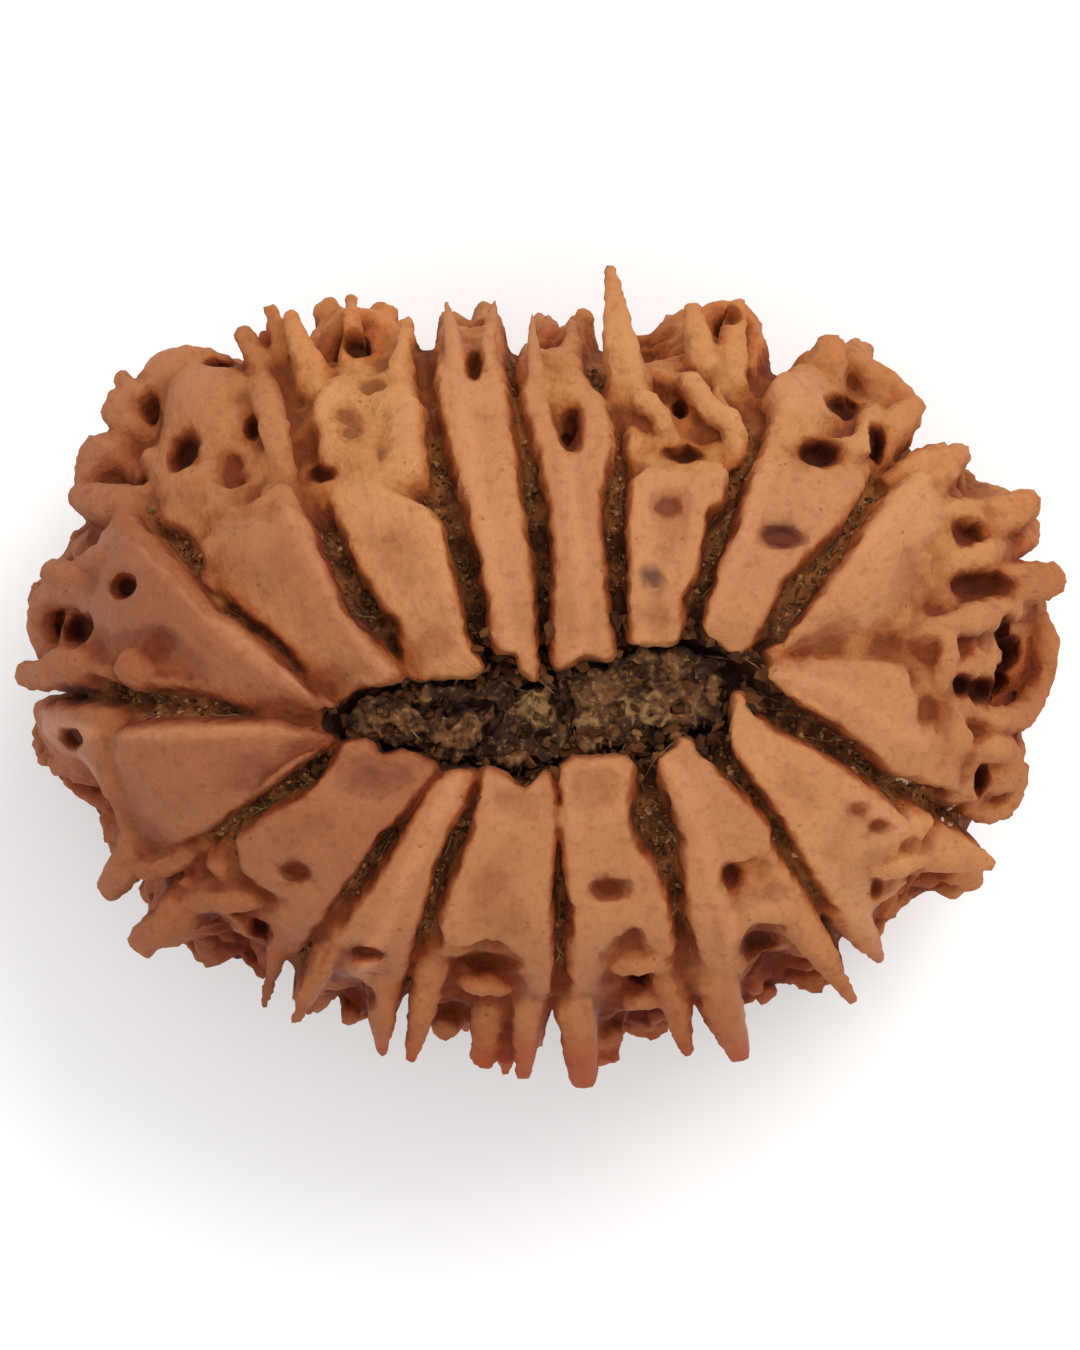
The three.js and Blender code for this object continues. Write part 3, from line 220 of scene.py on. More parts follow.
# Horns and knobs of the rim: root and tip in plan, width at the root, and how blunt the tip is
RIM_HORNS = [
    ((-6.5, 11.5), (-6.5, 13.3), 1.0, 0.6), ((-8.7, 11.1), (-9.3, 12.9), 1.2, 0.6),
    ((-7.9, 10.9), (-8.6, 12.7), 1.4, 0.5), ((-9.4, 10.9), (-10.3, 12.1), 1.3, 0.7),
    ((-13.6, 9.9), (-14.6, 10.6), 1.0, 0.8), ((-4.8, 10.9), (-4.5, 12.5), 1.0, 0.5),
    ((-2.6, 10.1), (-3.2, 13.1), 1.2, 0.25), ((-2.0, 10.1), (-1.5, 13.1), 1.0, 0.25),
    ((-0.1, 10.1), (-0.2, 12.7), 0.8, 0.25), ((1.0, 10.1), (1.2, 12.4), 1.3, 0.35),
    ((3.2, 10.1), (2.5, 14.3), 1.8, 0.28), ((6.0, 10.8), (5.3, 12.9), 1.5, 0.6),
    ((6.7, 10.9), (6.9, 13.1), 1.4, 0.6), ((10.3, 10.7), (10.2, 11.8), 2.3, 0.6),
    ((12.1, 8.7), (13.1, 9.6), 1.7, 0.7), ((13.4, 6.6), (14.6, 7.9), 1.9, 0.7),
    ((15.4, 5.4), (17.2, 6.2), 2.2, 0.7), ((16.0, 3.4), (18.0, 3.5), 2.2, 0.8),
    ((15.2, -3.6), (16.7, -3.3), 2.2, 0.7), ((12.9, -6.1), (15.8, -6.4), 2.7, 0.25),
    ((10.8, -8.2), (11.9, -9.7), 1.8, 0.3), ((8.8, -8.2), (10.9, -11.1), 1.6, 0.3),
    ((5.7, -9.9), (7.0, -13.0), 2.4, 0.5), ((4.5, -10.3), (5.2, -13.0), 1.7, 0.3),
    ((1.2, -10.8), (1.6, -13.9), 1.8, 0.75), ((-0.3, -10.8), (-0.5, -13.7), 1.6, 0.5),
    ((-1.1, -11.2), (-1.1, -13.6), 1.2, 0.6), ((-1.4, -11.1), (-1.9, -13.2), 1.8, 0.7),
    ((-3.6, -10.1), (-4.4, -13.1), 1.5, 0.4), ((-5.5, -10.0), (-5.4, -12.9), 1.9, 0.3),
    ((-6.9, -9.0), (-8.4, -11.8), 1.4, 0.35), ((-8.8, -8.5), (-9.5, -11.3), 1.0, 0.3),
    ((-11.7, -7.8), (-13.8, -9.2), 2.2, 0.7), ((-13.8, -5.4), (-14.9, -7.3), 1.9, 0.7),
    ((-16.2, 0.4), (-17.8, 0.15), 1.7, 0.8), ((-15.6, 3.6), (-17.0, 3.8), 1.7, 0.7),
    ((-14.5, 6.3), (-16.0, 6.4), 2.0, 0.7), ((-14.7, 8.0), (-15.8, 8.2), 1.5, 0.7),
    ((-13.8, 9.2), (-15.0, 9.6), 1.4, 0.8),
]
HORN_SEED = 5
HORN_DROP = (0.3, 0.85)
HORN_ROOT_SINK = 0.6
HORN_HOOK = 0.12
HORN_BACKSET = 0.12
HORN_BACK_SINK = 0.9
HORN_STEEPEST = 1.5
HORN_THICKNESS = (0.4, 0.56, 0.5)

# Pits of the upper side: middle in plan, half sizes along X and Y, and depth beside the usual one
PITS = [
    ((-14.3, 3.2), 0.45, 0.45, 1.1), ((-12.9, 1.3), 0.6, 0.5, 0.22),
    ((-16.1, 1.8), 0.8, 0.6, 1.4), ((-16.2, -2.0), 0.75, 0.42, 1.0),
    ((-12.3, 8.0), 0.68, 0.8, 1.2), ((-13.4, 9.3), 0.35, 0.55, 1.0),
    ((-11.0, 10.8), 0.56, 0.24, 0.8), ((-9.9, 8.9), 0.31, 0.49, 0.7),
    ((-6.3, 11.6), 0.45, 0.49, 1.1), ((-7.5, 7.2), 0.49, 0.35, 0.8),
    ((-2.2, 10.8), 0.31, 0.69, 0.8), ((1.2, 8.6), 0.42, 0.9, 0.75), ((4.5, 5.9), 0.45, 0.38, 0.25),
    ((4.9, 9.4), 0.31, 0.38, 0.9), ((5.0, 7.8), 0.68, 0.36, 0.9), ((6.5, 12.1), 0.42, 0.42, 0.9),
    ((8.4, 4.9), 0.8, 0.4, 0.3), ((10.6, 9.6), 0.73, 0.49, 1.1), ((9.7, 7.9), 0.87, 0.59, 1.1),
    ((11.7, 8.3), 0.38, 0.72, 1.2), ((14.8, 5.1), 0.66, 0.5, 0.6), ((15.3, 3.3), 1.6, 0.5, 0.85),
    ((16.2, 1.7), 0.5, 0.6, 1.4),
    ((16.6, 0.9), 0.5, 0.7, 1.7), ((16.3, 0.0), 0.6, 0.6, 1.7), ((15.5, -0.4), 0.7, 0.5, 1.5),
    ((14.8, -0.2), 0.5, 0.4, 1.3), ((12.6, 0.9), 1.2, 0.5, 0.22), ((13.4, -1.0), 0.5, 0.6, 0.35),
    ((15.4, -3.5), 0.34, 0.55, 1.2), ((11.0, -4.4), 0.4, 0.3, 0.25), ((11.7, -5.0), 0.4, 0.3, 0.3),
    ((11.7, -7.2), 0.24, 0.45, 0.5), ((6.6, -6.7), 0.4, 0.5, 0.65), ((7.6, -9.2), 0.75, 0.68, 0.85),
    ((2.5, -7.2), 0.72, 0.42, 0.55), ((3.6, -10.4), 0.4, 0.38, 0.9), ((3.4, -11.6), 0.34, 0.34, 0.9),
    ((-1.8, -9.8), 1.15, 0.5, 0.55), ((-5.9, -9.4), 0.49, 0.26, 0.5), ((-5.9, -10.8), 0.4, 0.48, 0.8),
    ((-8.3, -6.6), 0.6, 0.34, 0.5), ((-11.2, -8.4), 0.9, 0.5, 0.8), ((-9.6, -8.7), 0.42, 0.45, 0.9),
]
PIT_DEPTH = 1.15
PIT_UPTURN = 3
PIT_CUT_BELOW = 3.2
PIT_PAINT_BELOW = 4.5
PIT_WAVER = 0.3
PIT_FINE_WAVER = 0.1
PIT_SEARCH = 4
CALM_MARGIN = 0.4

# Levels of the relief, measured outwards from the crests, and the widths of its steps
GROOVE_FLOOR = -1.4
SEAM_FLOOR = -0.45
TIER_LEVEL = -0.9
PLATE_CROWN = 0.05
PLATE_RIM = 0.09
PLATE_RIM_PLACE = 0.25
PLATE_RIM_WIDTH = 0.22
PLATE_SPREAD = 0.12
PLATE_RAGGEDNESS = 0.1
CORNER_CUT = 0.13
PLATE_WALL = 0.12
OUTER_WALL = 0.22
TIER_EDGE_WALL = 0.6
GROOVE_HALF_WIDTH = 0.42
GROOVE_WANDER = 0.16
SEAM_HALF_WIDTH = (1.0, 1.9)
FOLD_HEIGHT = 0.35
CELL_SIZE = 1.7
RIM_CELL_SIZE = 2.3
CELL_DEPTH = 1.0
CELL_BEND = 0.35
ROUGH_FROM = 0.45
FADED_GROOVE = -0.95

# Swells, dents and stains: place in plan, size, and height or depth
RIM_SWELLS = [((-12.2, 10.3), 1.5, 1.1), ((17.1, 4.0), 1.4, 1.1)]
RIM_DENTS = [
    ((-15.9, -4.8), 2.0, 1.9), ((13.4, -8.3), 2.0, 1.9), ((-16.8, 5.2), 1.8, 1.1),
    ((8.4, -11.4), 1.6, 1.8), ((17.3, -1.2), 1.5, 1.2), ((0.4, 12.8), 1.2, 1.2),
    ((-11.0, -10.5), 1.6, 1.2), ((3.9, 12.5), 1.1, 1.4), ((-3.2, -12.7), 1.1, 1.3),
    ((-6.8, -12.3), 1.2, 1.3), ((15.5, 7.7), 1.2, 0.9), ((3.9, -12.9), 1.0, 1.2),
    ((-13.8, -7.6), 1.2, 1.0),
]
STAINS = [((4.1, 3.4), 0.5), ((8.4, 4.9), 0.7), ((-16.2, -0.5), 0.5), ((-15.4, -0.5), 0.55),
          ((-14.5, -0.55), 0.5)]

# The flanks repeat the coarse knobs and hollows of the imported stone, row by row and lobe by lobe
FLANK_SEED = 16
COLUMNS_PER_LOBE = 5
TOP_COLUMNS = (0.36, 0.64)
LATITUDES = 15
KNOB_CHANCE = 0.88
STRAY_KNOB_CHANCE = 0.12
KNOB_LEVEL = 0.1
KNOB_LEAN = (-0.1, 0.12)
KNOB_DRIFT = 0.03
KNOB_RADIUS = (0.5, 0.8)
KNOB_TIP = (0.3, 0.65)
KNOB_PLACES = (-2.6, -1.2, 0.15)
KNOB_SEED = 21
KNOB_REACH_AT_ENDS = 0.3
KNOB_REACH_AT_SIDES = 1.1
HOLLOW_LEVEL = (-1.8, -1.1)
SIDE_LEVEL = -0.9
SIDE_LUMPS = 0.3
LOWER_SIDE_LEVEL = -0.15
LOWER_PLATE_EDGE = 0.62
UPPER_BELT_EDGE = 0.93

SKIN_COLUMNS = 1000
SKIN_ROWS = 480
LOCATE_ROUNDS = 24
SLOT_LATITUDE = math.radians(80)
VOXEL = 0.1
SOFTEN_ROUNDS = 2
STONE_TRIANGLES = 190000

# Fine relief in the hollows and on the plates, and how the masks of the finish are read
GRAIN = (0.1, 0.012)
PORES = (0.045, 0.01)
EDGE_ROUNDS = 6
EDGE_HEIGHT = 0.1
BULK_ROUNDS = 45
BULK_HEIGHT = 0.5
SHELTER_REACH = 2.6
SHELTER_RAYS = 22
FIBRE_RUN_SCALE = 16


def smooth_step(low, high, value):
    share = np.clip((value - low) / (high - low), 0, 1)
    return share * share * (3 - 2 * share)


def blend(first, second, share):
    return first + (second - first) * share


def noise_at(points, size, seed):
    """Smooth noise from -1 to 1 at points, in lumps of about a size in millimetres."""
    shift = Vector((17.3, 5.1, 9.7)) * seed
    return np.array([noise.noise(Vector(point) / size + shift) for point in points.tolist()])


def seeded_stream(seed):
    """The repeatable stream of numbers between 0 and 1 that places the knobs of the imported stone."""
    factor, offset, span = 1664525, 1013904223, 2**32
    state = seed
    while True:
        state = (state * factor + offset) % span
        yield state / span


def level_line(pole, share):
    """Half sizes, middle and turn of the level line at a share from the slot, 0, to the equator, 1."""
    return (
        blend(pole["half"][0], HALF_LENGTH, share),
        blend(pole["half"][1], HALF_WIDTH, share),
        blend(pole["centre"][0], EQUATOR_CENTRE[0], share),
        blend(pole["centre"][1], EQUATOR_CENTRE[1], share),
        blend(math.radians(pole["turn"]), 0, share),
    )


def fullness(share, angle):
    return 1 + CORNER_FULLNESS * np.maximum(share, 0) * np.sin(2 * angle) ** 2


def crest_height(pole, share):
    clipped = np.clip(share, 0, 1)
    dome = pole["height"] * (1 - clipped ** (2 / SIDE_POWER)) ** (SIDE_POWER / 2)
    return pole["side"] * (dome - POLE_DIMPLE * np.exp(-((clipped / DIMPLE_REACH) ** 2)))


def crest_point(pole, share, angle):
    half_length, half_width, x, y, turn = level_line(pole, share)
    along = half_length * fullness(share, angle) * np.cos(angle)
    across = half_width * fullness(share, angle) * np.sin(angle)
    return np.stack([
        x + along * np.cos(turn) - across * np.sin(turn),
        y + along * np.sin(turn) + across * np.cos(turn),
        crest_height(pole, share) + 0 * along,
    ], axis=-1)


def share_at(latitude):
    return np.maximum(0, np.cos(latitude)) ** SIDE_POWER


def crest_at(latitude, angle):
    share = share_at(latitude)
    above = (latitude >= 0)[..., None]
    return np.where(above, crest_point(UPPER_POLE, share, angle), crest_point(LOWER_POLE, share, angle))


def normal_at(latitude, angle):
    step = 0.03
    north = crest_at(np.minimum(latitude + step, math.pi / 2), angle)
    south = crest_at(np.maximum(latitude - step, -math.pi / 2), angle)
    east = crest_at(latitude, angle + step)
    west = crest_at(latitude, angle - step)
    outwards = np.cross(east - west, north - south)
    return outwards / np.linalg.norm(outwards, axis=-1, keepdims=True)


def locate(pole, x, y):
    """Share and angle of a plan point, found by halving the span of shares."""
    low, high, angle = -0.15, 1.0, 0.0
    for _ in range(LOCATE_ROUNDS):
        share = (low + high) / 2
        half_length, half_width, middle_x, middle_y, turn = level_line(pole, share)
        dx, dy = x - middle_x, y - middle_y
        along = (dx * math.cos(turn) + dy * math.sin(turn)) / half_length
        across = (dy * math.cos(turn) - dx * math.sin(turn)) / half_width
        angle = math.atan2(across, along)
        if math.hypot(along, across) > fullness(share, angle):
            low = share
        else:
            high = share
    return low, angle


def latitude_of(pole, share):
    return pole["side"] * math.acos(min(max(share, 0), 1) ** (1 / SIDE_POWER))


def surface_point(latitude, angle, relief):
    latitude, angle = np.array(latitude), np.array(angle)
    return crest_at(latitude, angle) + normal_at(latitude, angle) * relief


def direction_over(pole, x, y):
    share, angle = locate(pole, x, y)
    if share <= 0:
        return np.array([0, 0, pole["side"]])
    return normal_at(np.array(latitude_of(pole, min(share, SHOULDER_SHARE))), np.array(angle))


def point_over(pole, x, y, relief):
    share, _ = locate(pole, x, y)
    height = crest_height(pole, min(share, SHOULDER_SHARE))
    return np.array([x, y, height]) + direction_over(pole, x, y) * relief


# Where the grooves run: through their three plan points above the equator, and straight down below it
def nearest_turn(angle, reference):
    return angle - 2 * math.pi * np.round((angle - reference) / (2 * math.pi))


groove_places = [[locate(UPPER_POLE, x, y) for x, y in lobe["groove"]] for lobe in LOBES]


def groove_angle(number, latitude):
    turns, lobe = divmod(number, len(LOBES))
    inner, middle, outer = groove_places[lobe]
    share = share_at(latitude)
    middle_angle = nearest_turn(middle[1], inner[1])
    outer_angle = nearest_turn(outer[1], middle_angle)
    near = blend(inner[1], middle_angle, np.clip(share / middle[0], 0, 1))
    far = blend(middle_angle, outer_angle, np.clip((share - middle[0]) / (outer[0] - middle[0]), 0, 1))
    angle = np.where(latitude > 0, np.where(share < middle[0], near, far), outer_angle)
    return nearest_turn(angle, 2 * math.pi * lobe / len(LOBES)) + 2 * math.pi * turns


def flank_levels():
    """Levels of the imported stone's rows and columns, and their kinds: 1 knob, -1 hollow, 0 neither."""
    columns = len(LOBES) * COLUMNS_PER_LOBE
    stream = seeded_stream(FLANK_SEED)
    levels = np.zeros((LATITUDES, columns))
    kinds = np.zeros((LATITUDES, columns), int)
    for row in range(LATITUDES):
        latitude = math.pi * (0.5 - row / (LATITUDES - 1))
        share = float(share_at(latitude))
        for column in range(columns):
            lump, kind, size = (2 * next(stream) - 1, next(stream), next(stream))
            place = column % COLUMNS_PER_LOBE
            on_side = place in (0, 1, COLUMNS_PER_LOBE - 1)
            if latitude > 0 and share < UPPER_BELT_EDGE:
                levels[row, column] = TIER_LEVEL
            elif share < LOWER_PLATE_EDGE:
                levels[row, column] = LOWER_SIDE_LEVEL if on_side else 0
            elif on_side:
                levels[row, column] = SIDE_LEVEL + SIDE_LUMPS * lump
            else:
                angle = 2 * math.pi * column / columns
                chance = KNOB_CHANCE if (row + place) % 2 == 0 else STRAY_KNOB_CHANCE
                if kind < chance:
                    reach = blend(KNOB_REACH_AT_ENDS, KNOB_REACH_AT_SIDES, math.sin(angle) ** 2)
                    levels[row, column] = blend(KNOB_LEVEL, reach, size)
                    kinds[row, column] = 1
                else:
                    levels[row, column] = blend(HOLLOW_LEVEL[0], HOLLOW_LEVEL[1], size)
                    kinds[row, column] = -1
    return levels, kinds


def line_distance(x, y, start, end):
    """How far plan points lie from the straight line between two others."""
    (ax, ay), (bx, by) = start, end
    span = (bx - ax) ** 2 + (by - ay) ** 2
    share = np.clip(((x - ax) * (bx - ax) + (y - ay) * (by - ay)) / span, 0, 1)
    return np.hypot(x - blend(ax, bx, share), y - blend(ay, by, share))


def plan_distance(points, place):
    return np.hypot(points[:, 0] - place[0], points[:, 1] - place[1])


def inside_distance(x, y, outline):
    """How far plan points lie inside an outline, negative outside it."""
    corners = np.array(outline)
    nearest = np.full(len(x), 1e9)
    inside = np.zeros(len(x), bool)
    for start, end in zip(corners, np.roll(corners, -1, axis=0)):
        nearest = np.minimum(nearest, line_distance(x, y, start, end))
        (ax, ay), (bx, by) = start, end
        if ay != by:
            inside ^= ((ay > y) != (by > y)) & (x < ax + (bx - ax) * (y - ay) / (by - ay))
    return np.where(inside, nearest, -nearest)


def rounded(outline):
    """The outline with each corner cut once, so that no plate has a sharp corner."""
    points = np.array(outline)
    after = np.roll(points, -1, axis=0)
    cut = [blend(points, after, share) for share in (CORNER_CUT, 1 - CORNER_CUT)]
    return np.stack(cut, axis=1).reshape(-1, 2)


def mesh_of(bm, name):
    """The mesh of what was built in a bmesh, which goes."""
    mesh = bpy.data.meshes.new(name)
    bm.to_mesh(mesh)
    bm.free()
    return mesh


def corners_of(mesh, what="co"):
    """The places of a mesh's corners, or with "normal" the way each faces, as rows of three."""
    flat = np.zeros(len(mesh.vertices) * 3)
    mesh.vertices.foreach_get(what, flat)
    return flat.reshape(-1, 3)


# The skin: a fine grid rolled round the seed, columns along its girth and rows from pole to pole
bm = bmesh.new()
bmesh.ops.create_grid(bm, x_segments=SKIN_COLUMNS, y_segments=SKIN_ROWS, size=1)
skin = mesh_of(bm, "seed_stone_skin")
grid = corners_of(skin)
angle = math.pi * grid[:, 0]
globe_latitude = math.pi / 2 * grid[:, 1]
latitude = np.clip(globe_latitude / SLOT_LATITUDE, -1, 1) * math.pi / 2
share = share_at(latitude)
above = latitude >= 0
reach = np.clip((math.pi / 2 - np.abs(globe_latitude)) / (math.pi / 2 - SLOT_LATITUDE), 0, 1)
in_slot = reach < 1
crest = crest_at(latitude, angle)
outwards = normal_at(latitude, angle)
pole_middle = np.where(above[:, None], UPPER_POLE["centre"], LOWER_POLE["centre"])
crest[:, :2] = blend(pole_middle, crest[:, :2], reach[:, None])
outwards[in_slot] = np.where(above[in_slot, None], (0, 0, 1), (0, 0, -1))

# Which lobe each point is on, how far across it, and how far it is from the nearest groove
grooves = np.stack([groove_angle(number, latitude) for number in range(len(LOBES) + 1)])
turned = grooves[0] + np.mod(angle - grooves[0], 2 * math.pi)
lobe = np.clip((turned >= grooves).sum(axis=0) - 1, 0, len(LOBES) - 1)
point_index = np.arange(len(lobe))
lobe_start = grooves[lobe, point_index]
lobe_end = grooves[lobe + 1, point_index]
across = (turned - lobe_start) / (lobe_end - lobe_start)
step_round = 0.01
girth = np.linalg.norm(crest_at(latitude, angle + step_round) - crest_at(latitude, angle), axis=1)
lobe_width = (lobe_end - lobe_start) * girth / step_round


def of_lobe(key, number=lobe):
    """A value of the lobe that each point of the skin is on."""
    return np.array([entry[key] for entry in LOBES])[number]


wander = noise_at(crest, 2.4, 1)
groove_distance = np.minimum(across, 1 - across) * lobe_width + GROOVE_WANDER * wander
lump_large = noise_at(crest, 1.7, 2)
lump_small = noise_at(crest, 0.7, 3)
folds = 0.5 - 2 * np.abs(noise_at(crest, 2.1, 11)) + 0.4 * (0.5 - 2 * np.abs(noise_at(crest, 0.95, 12)))
crumble = 0.6 * noise_at(crest, 0.42, 13) + 0.4 * noise_at(crest, 0.24, 14)


def cells_at(points, size):
    """Rounded hollows side by side, 0 on the walls between them and 1 at their bottoms."""
    depths = []
    for point in points.tolist():
        first, second = noise.voronoi(Vector(point) / size)[0][:2]
        depths.append(second - first)
    return smooth_step(0.05, 0.5, np.array(depths))


cells = np.zeros(len(crest))
rough_zone = ~in_slot & ((share > ROUGH_FROM) | ~above)
bent = crest[rough_zone] + CELL_BEND * np.stack([lump_small, wander, lump_large], axis=1)[rough_zone]
cell_size = blend(CELL_SIZE, RIM_CELL_SIZE, smooth_step(-1, 3, bent[:, 2]))[:, None]
cells[rough_zone] = cells_at(bent / cell_size, 1) * smooth_step(-0.25, 0.15, lump_large[rough_zone])

# Plates: how far each upper point lies inside the nearest one, with slightly ragged edges
plate_distance = np.full(len(crest), -9.0)
ragged_x = crest[:, 0] + PLATE_RAGGEDNESS * lump_small
ragged_y = crest[:, 1] + PLATE_RAGGEDNESS * wander
for outline in [entry["plate"] for entry in LOBES] + OUTER_PLATES:
    smooth_outline = rounded(outline)
    low = smooth_outline.min(axis=0) - 1
    high = smooth_outline.max(axis=0) + 1
    near = above & (crest[:, 0] > low[0]) & (crest[:, 0] < high[0])
    near &= (crest[:, 1] > low[1]) & (crest[:, 1] < high[1])
    found = inside_distance(ragged_x[near], ragged_y[near], smooth_outline)
    plate_distance[near] = np.maximum(plate_distance[near], found + PLATE_SPREAD)
lower_plate = smooth_step(LOWER_PLATE_EDGE + 0.06, LOWER_PLATE_EDGE - 0.02, share + 0.03 * lump_large)
lower_distance = groove_distance - GROOVE_HALF_WIDTH - 0.1
plate_distance = np.where(above, plate_distance, np.where(lower_plate > 0.5, lower_distance, -9.0))

# Base level: groove floors between the plates, and from the start of the tier its rough shelf
tier_start = of_lobe("tier")
tier = smooth_step(tier_start - 0.06, tier_start + 0.03, share + 0.02 * lump_large)
off_groove = smooth_step(0.3, 0.3 + GROOVE_HALF_WIDTH, groove_distance)
roughness = FOLD_HEIGHT * folds + 0.12 * lump_small + 0.15 * crumble - CELL_DEPTH * (cells - 0.3)
calm = np.zeros(len(crest))
for (x, y), half_x, half_y, _ in PITS:
    off_x = (crest[:, 0] - x) / (half_x + CALM_MARGIN)
    off_y = (crest[:, 1] - y) / (half_y + CALM_MARGIN)
    calm = np.maximum(calm, above * (1 - smooth_step(0.8, 1.6, np.hypot(off_x, off_y))))
roughness *= 1 - 0.85 * calm
tier_level = of_lobe("shelf") + 0.2 * lump_large + 0.8 * roughness
groove_fill = GROOVE_FLOOR + 0.3 * lump_small + 0.35 * crumble
groove_end = of_lobe("fades", np.where(across < 0.5, lobe, (lobe + 1) % len(LOBES)))
faded = smooth_step(groove_end - 0.12, groove_end + 0.05, share) * above
rim_fill = blend(groove_fill, FADED_GROOVE + 0.25 * roughness, faded)
tier_shelf = blend(rim_fill, tier_level, off_groove)
upper_base = blend(groove_fill, tier_shelf, tier)
seam = (groove_end < 0) * above * (1 - smooth_step(*SEAM_HALF_WIDTH, groove_distance))
seam *= smooth_step(0.02, 0.1, share)
upper_base = np.maximum(upper_base, blend(groove_fill, SEAM_FLOOR + 0.3 * lump_small, seam))

# Flank level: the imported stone's rows and columns, eased between their nodes
levels, kinds = flank_levels()
row_place = (math.pi / 2 - latitude) / math.pi * (LATITUDES - 1)
row = np.clip(row_place.astype(int), 0, LATITUDES - 2)
side_share = np.minimum(0.24, 0.5 / lobe_width)
edges = np.stack([0 * across, side_share, 0 * across + TOP_COLUMNS[0], 0 * across + TOP_COLUMNS[1],
                  1 - side_share, 0 * across + 1])
column_in_lobe = np.clip((across >= edges).sum(axis=0) - 1, 0, COLUMNS_PER_LOBE - 1)
column_start = edges[column_in_lobe, point_index]
column_end = edges[column_in_lobe + 1, point_index]
column_share = smooth_step(0, 1, (across - column_start) / np.maximum(column_end - column_start, 1e-6))
column = lobe * COLUMNS_PER_LOBE + column_in_lobe
next_column = (column + 1) % levels.shape[1]
row_share = smooth_step(0, 1, row_place - row)
flank = blend(
    blend(levels[row, column], levels[row, next_column], column_share),
    blend(levels[row + 1, column], levels[row + 1, next_column], column_share),
    row_share,
)
flank = 0.75 * flank + 0.15 * lump_large + roughness
flank = blend(np.minimum(flank, GROOVE_FLOOR), flank, off_groove)
lower_level = blend(GROOVE_FLOOR, 0.05 * lump_large, smooth_step(-0.15, 0.3, lower_distance))
flank = blend(flank, lower_level, np.where(above, 0, lower_plate))
on_flank = np.where(above, smooth_step(0.9, 0.985, share), 1)

half_wall = blend(PLATE_WALL, OUTER_WALL, smooth_step(0.3, 0.7, share))
half_wall = blend(half_wall, TIER_EDGE_WALL, tier * off_groove)
wall = np.clip((plate_distance + 1.6 * half_wall) / (2 * half_wall), 0, 1)
crest_place = of_lobe("crest")
roof = of_lobe("roof")
raised_edge = np.exp(-(((plate_distance - PLATE_RIM_PLACE) / PLATE_RIM_WIDTH) ** 2))
raised_edge *= 1 - tier * off_groove
crown = PLATE_CROWN * smooth_step(0, 1.2, plate_distance) + PLATE_RIM * raised_edge
crown += above * roof * (0.5 - 2 * np.abs(across - crest_place)) + 0.08 * lump_large + 0.05 * lump_small
upper = blend(upper_base, crown, wall)
relief = blend(upper, flank, on_flank * (1 - wall * above))
slot_floor = -SLOT_DEPTH + 0.3 * lump_small + 0.4 * crumble
relief = np.where(in_slot & (wall < 0.5), np.minimum(relief, slot_floor), relief)

for place, size, height in RIM_SWELLS:
    relief += height * np.exp(-((plan_distance(crest, place) / size) ** 2)) * (crest[:, 2] > 0)


def dent_at(points):
    """How far the dents of the rim set points back, by their place in plan."""
    dent = np.zeros(len(points))
    for place, size, depth in RIM_DENTS:
        dent += depth * np.exp(-((plan_distance(points, place) / size) ** 2))
    return dent


relief -= dent_at(crest) * np.where(above, smooth_step(0.8, 0.95, share), 1)
stain = np.zeros(len(crest))
for place, size in STAINS:
    away = plan_distance(crest, place) + 0.3 * lump_small
    stain = np.maximum(stain, above * (1 - smooth_step(0.4 * size, 1.1 * size, away)))


def add_bar(curve, points, radii):
    """A tapering woody bar along a smooth line, for the horns, knobs and folds."""
    spline = curve.splines.new("BEZIER")
    spline.bezier_points.add(len(points) - 1)
    spline.resolution_u = 5
    for knot, point, radius in zip(spline.bezier_points, points, radii):
        knot.co = point
        knot.radius = radius
        knot.handle_left_type = "AUTO"
        knot.handle_right_type = "AUTO"


bars = bpy.data.curves.new("seed_stone_bars", "CURVE")
bars.dimensions = "3D"
bars.bevel_depth = 1
bars.bevel_resolution = 2
bars.use_fill_caps = True

# Folds and arches, thickest in the middle
for line, half_thickness in RIDGES:
    places = np.linspace(-1, 1, len(line))
    sink = THICK_FOLD_SINK if half_thickness > THICK_FOLD else FOLD_SINK
    points = [point_over(UPPER_POLE, x, y, -half_thickness * (sink + FOLD_DIVE * place**4))
              for (x, y), place in zip(line, places)]
    add_bar(bars, points, [half_thickness * (FOLD_SWELL - FOLD_TAPER * place**4) for place in places])

# Horns of the rim, each grown out of the fold behind it and hooked a little at its tip
stream = seeded_stream(HORN_SEED)
for root, tip, width, bluntness in RIM_HORNS:
    drop = blend(HORN_DROP[0], HORN_DROP[1], next(stream))
    root_share, root_angle = locate(UPPER_POLE, root[0], root[1])
    root_latitude = latitude_of(UPPER_POLE, min(root_share, SHOULDER_SHARE))
    start = surface_point(root_latitude, root_angle, -width * HORN_ROOT_SINK)
    shoulder = float(crest_height(UPPER_POLE, SHOULDER_SHARE))
    end = np.array([tip[0], tip[1], blend(start[2], min(shoulder, start[2]), drop)])
    length = np.linalg.norm(end - start)
    bend = (start + end) / 2 + np.array([0, 0, HORN_HOOK * length])
    back_latitude = min(root_latitude + HORN_BACKSET, HORN_STEEPEST)
    behind = surface_point(back_latitude, root_angle, -HORN_BACK_SINK * width)
    tip_radius = width / 2 * bluntness * 0.7
    back, foot, middle = (part * width for part in HORN_THICKNESS)
    add_bar(bars, [behind, start, bend, end], [back, foot, blend(middle, tip_radius, 0.45), tip_radius])

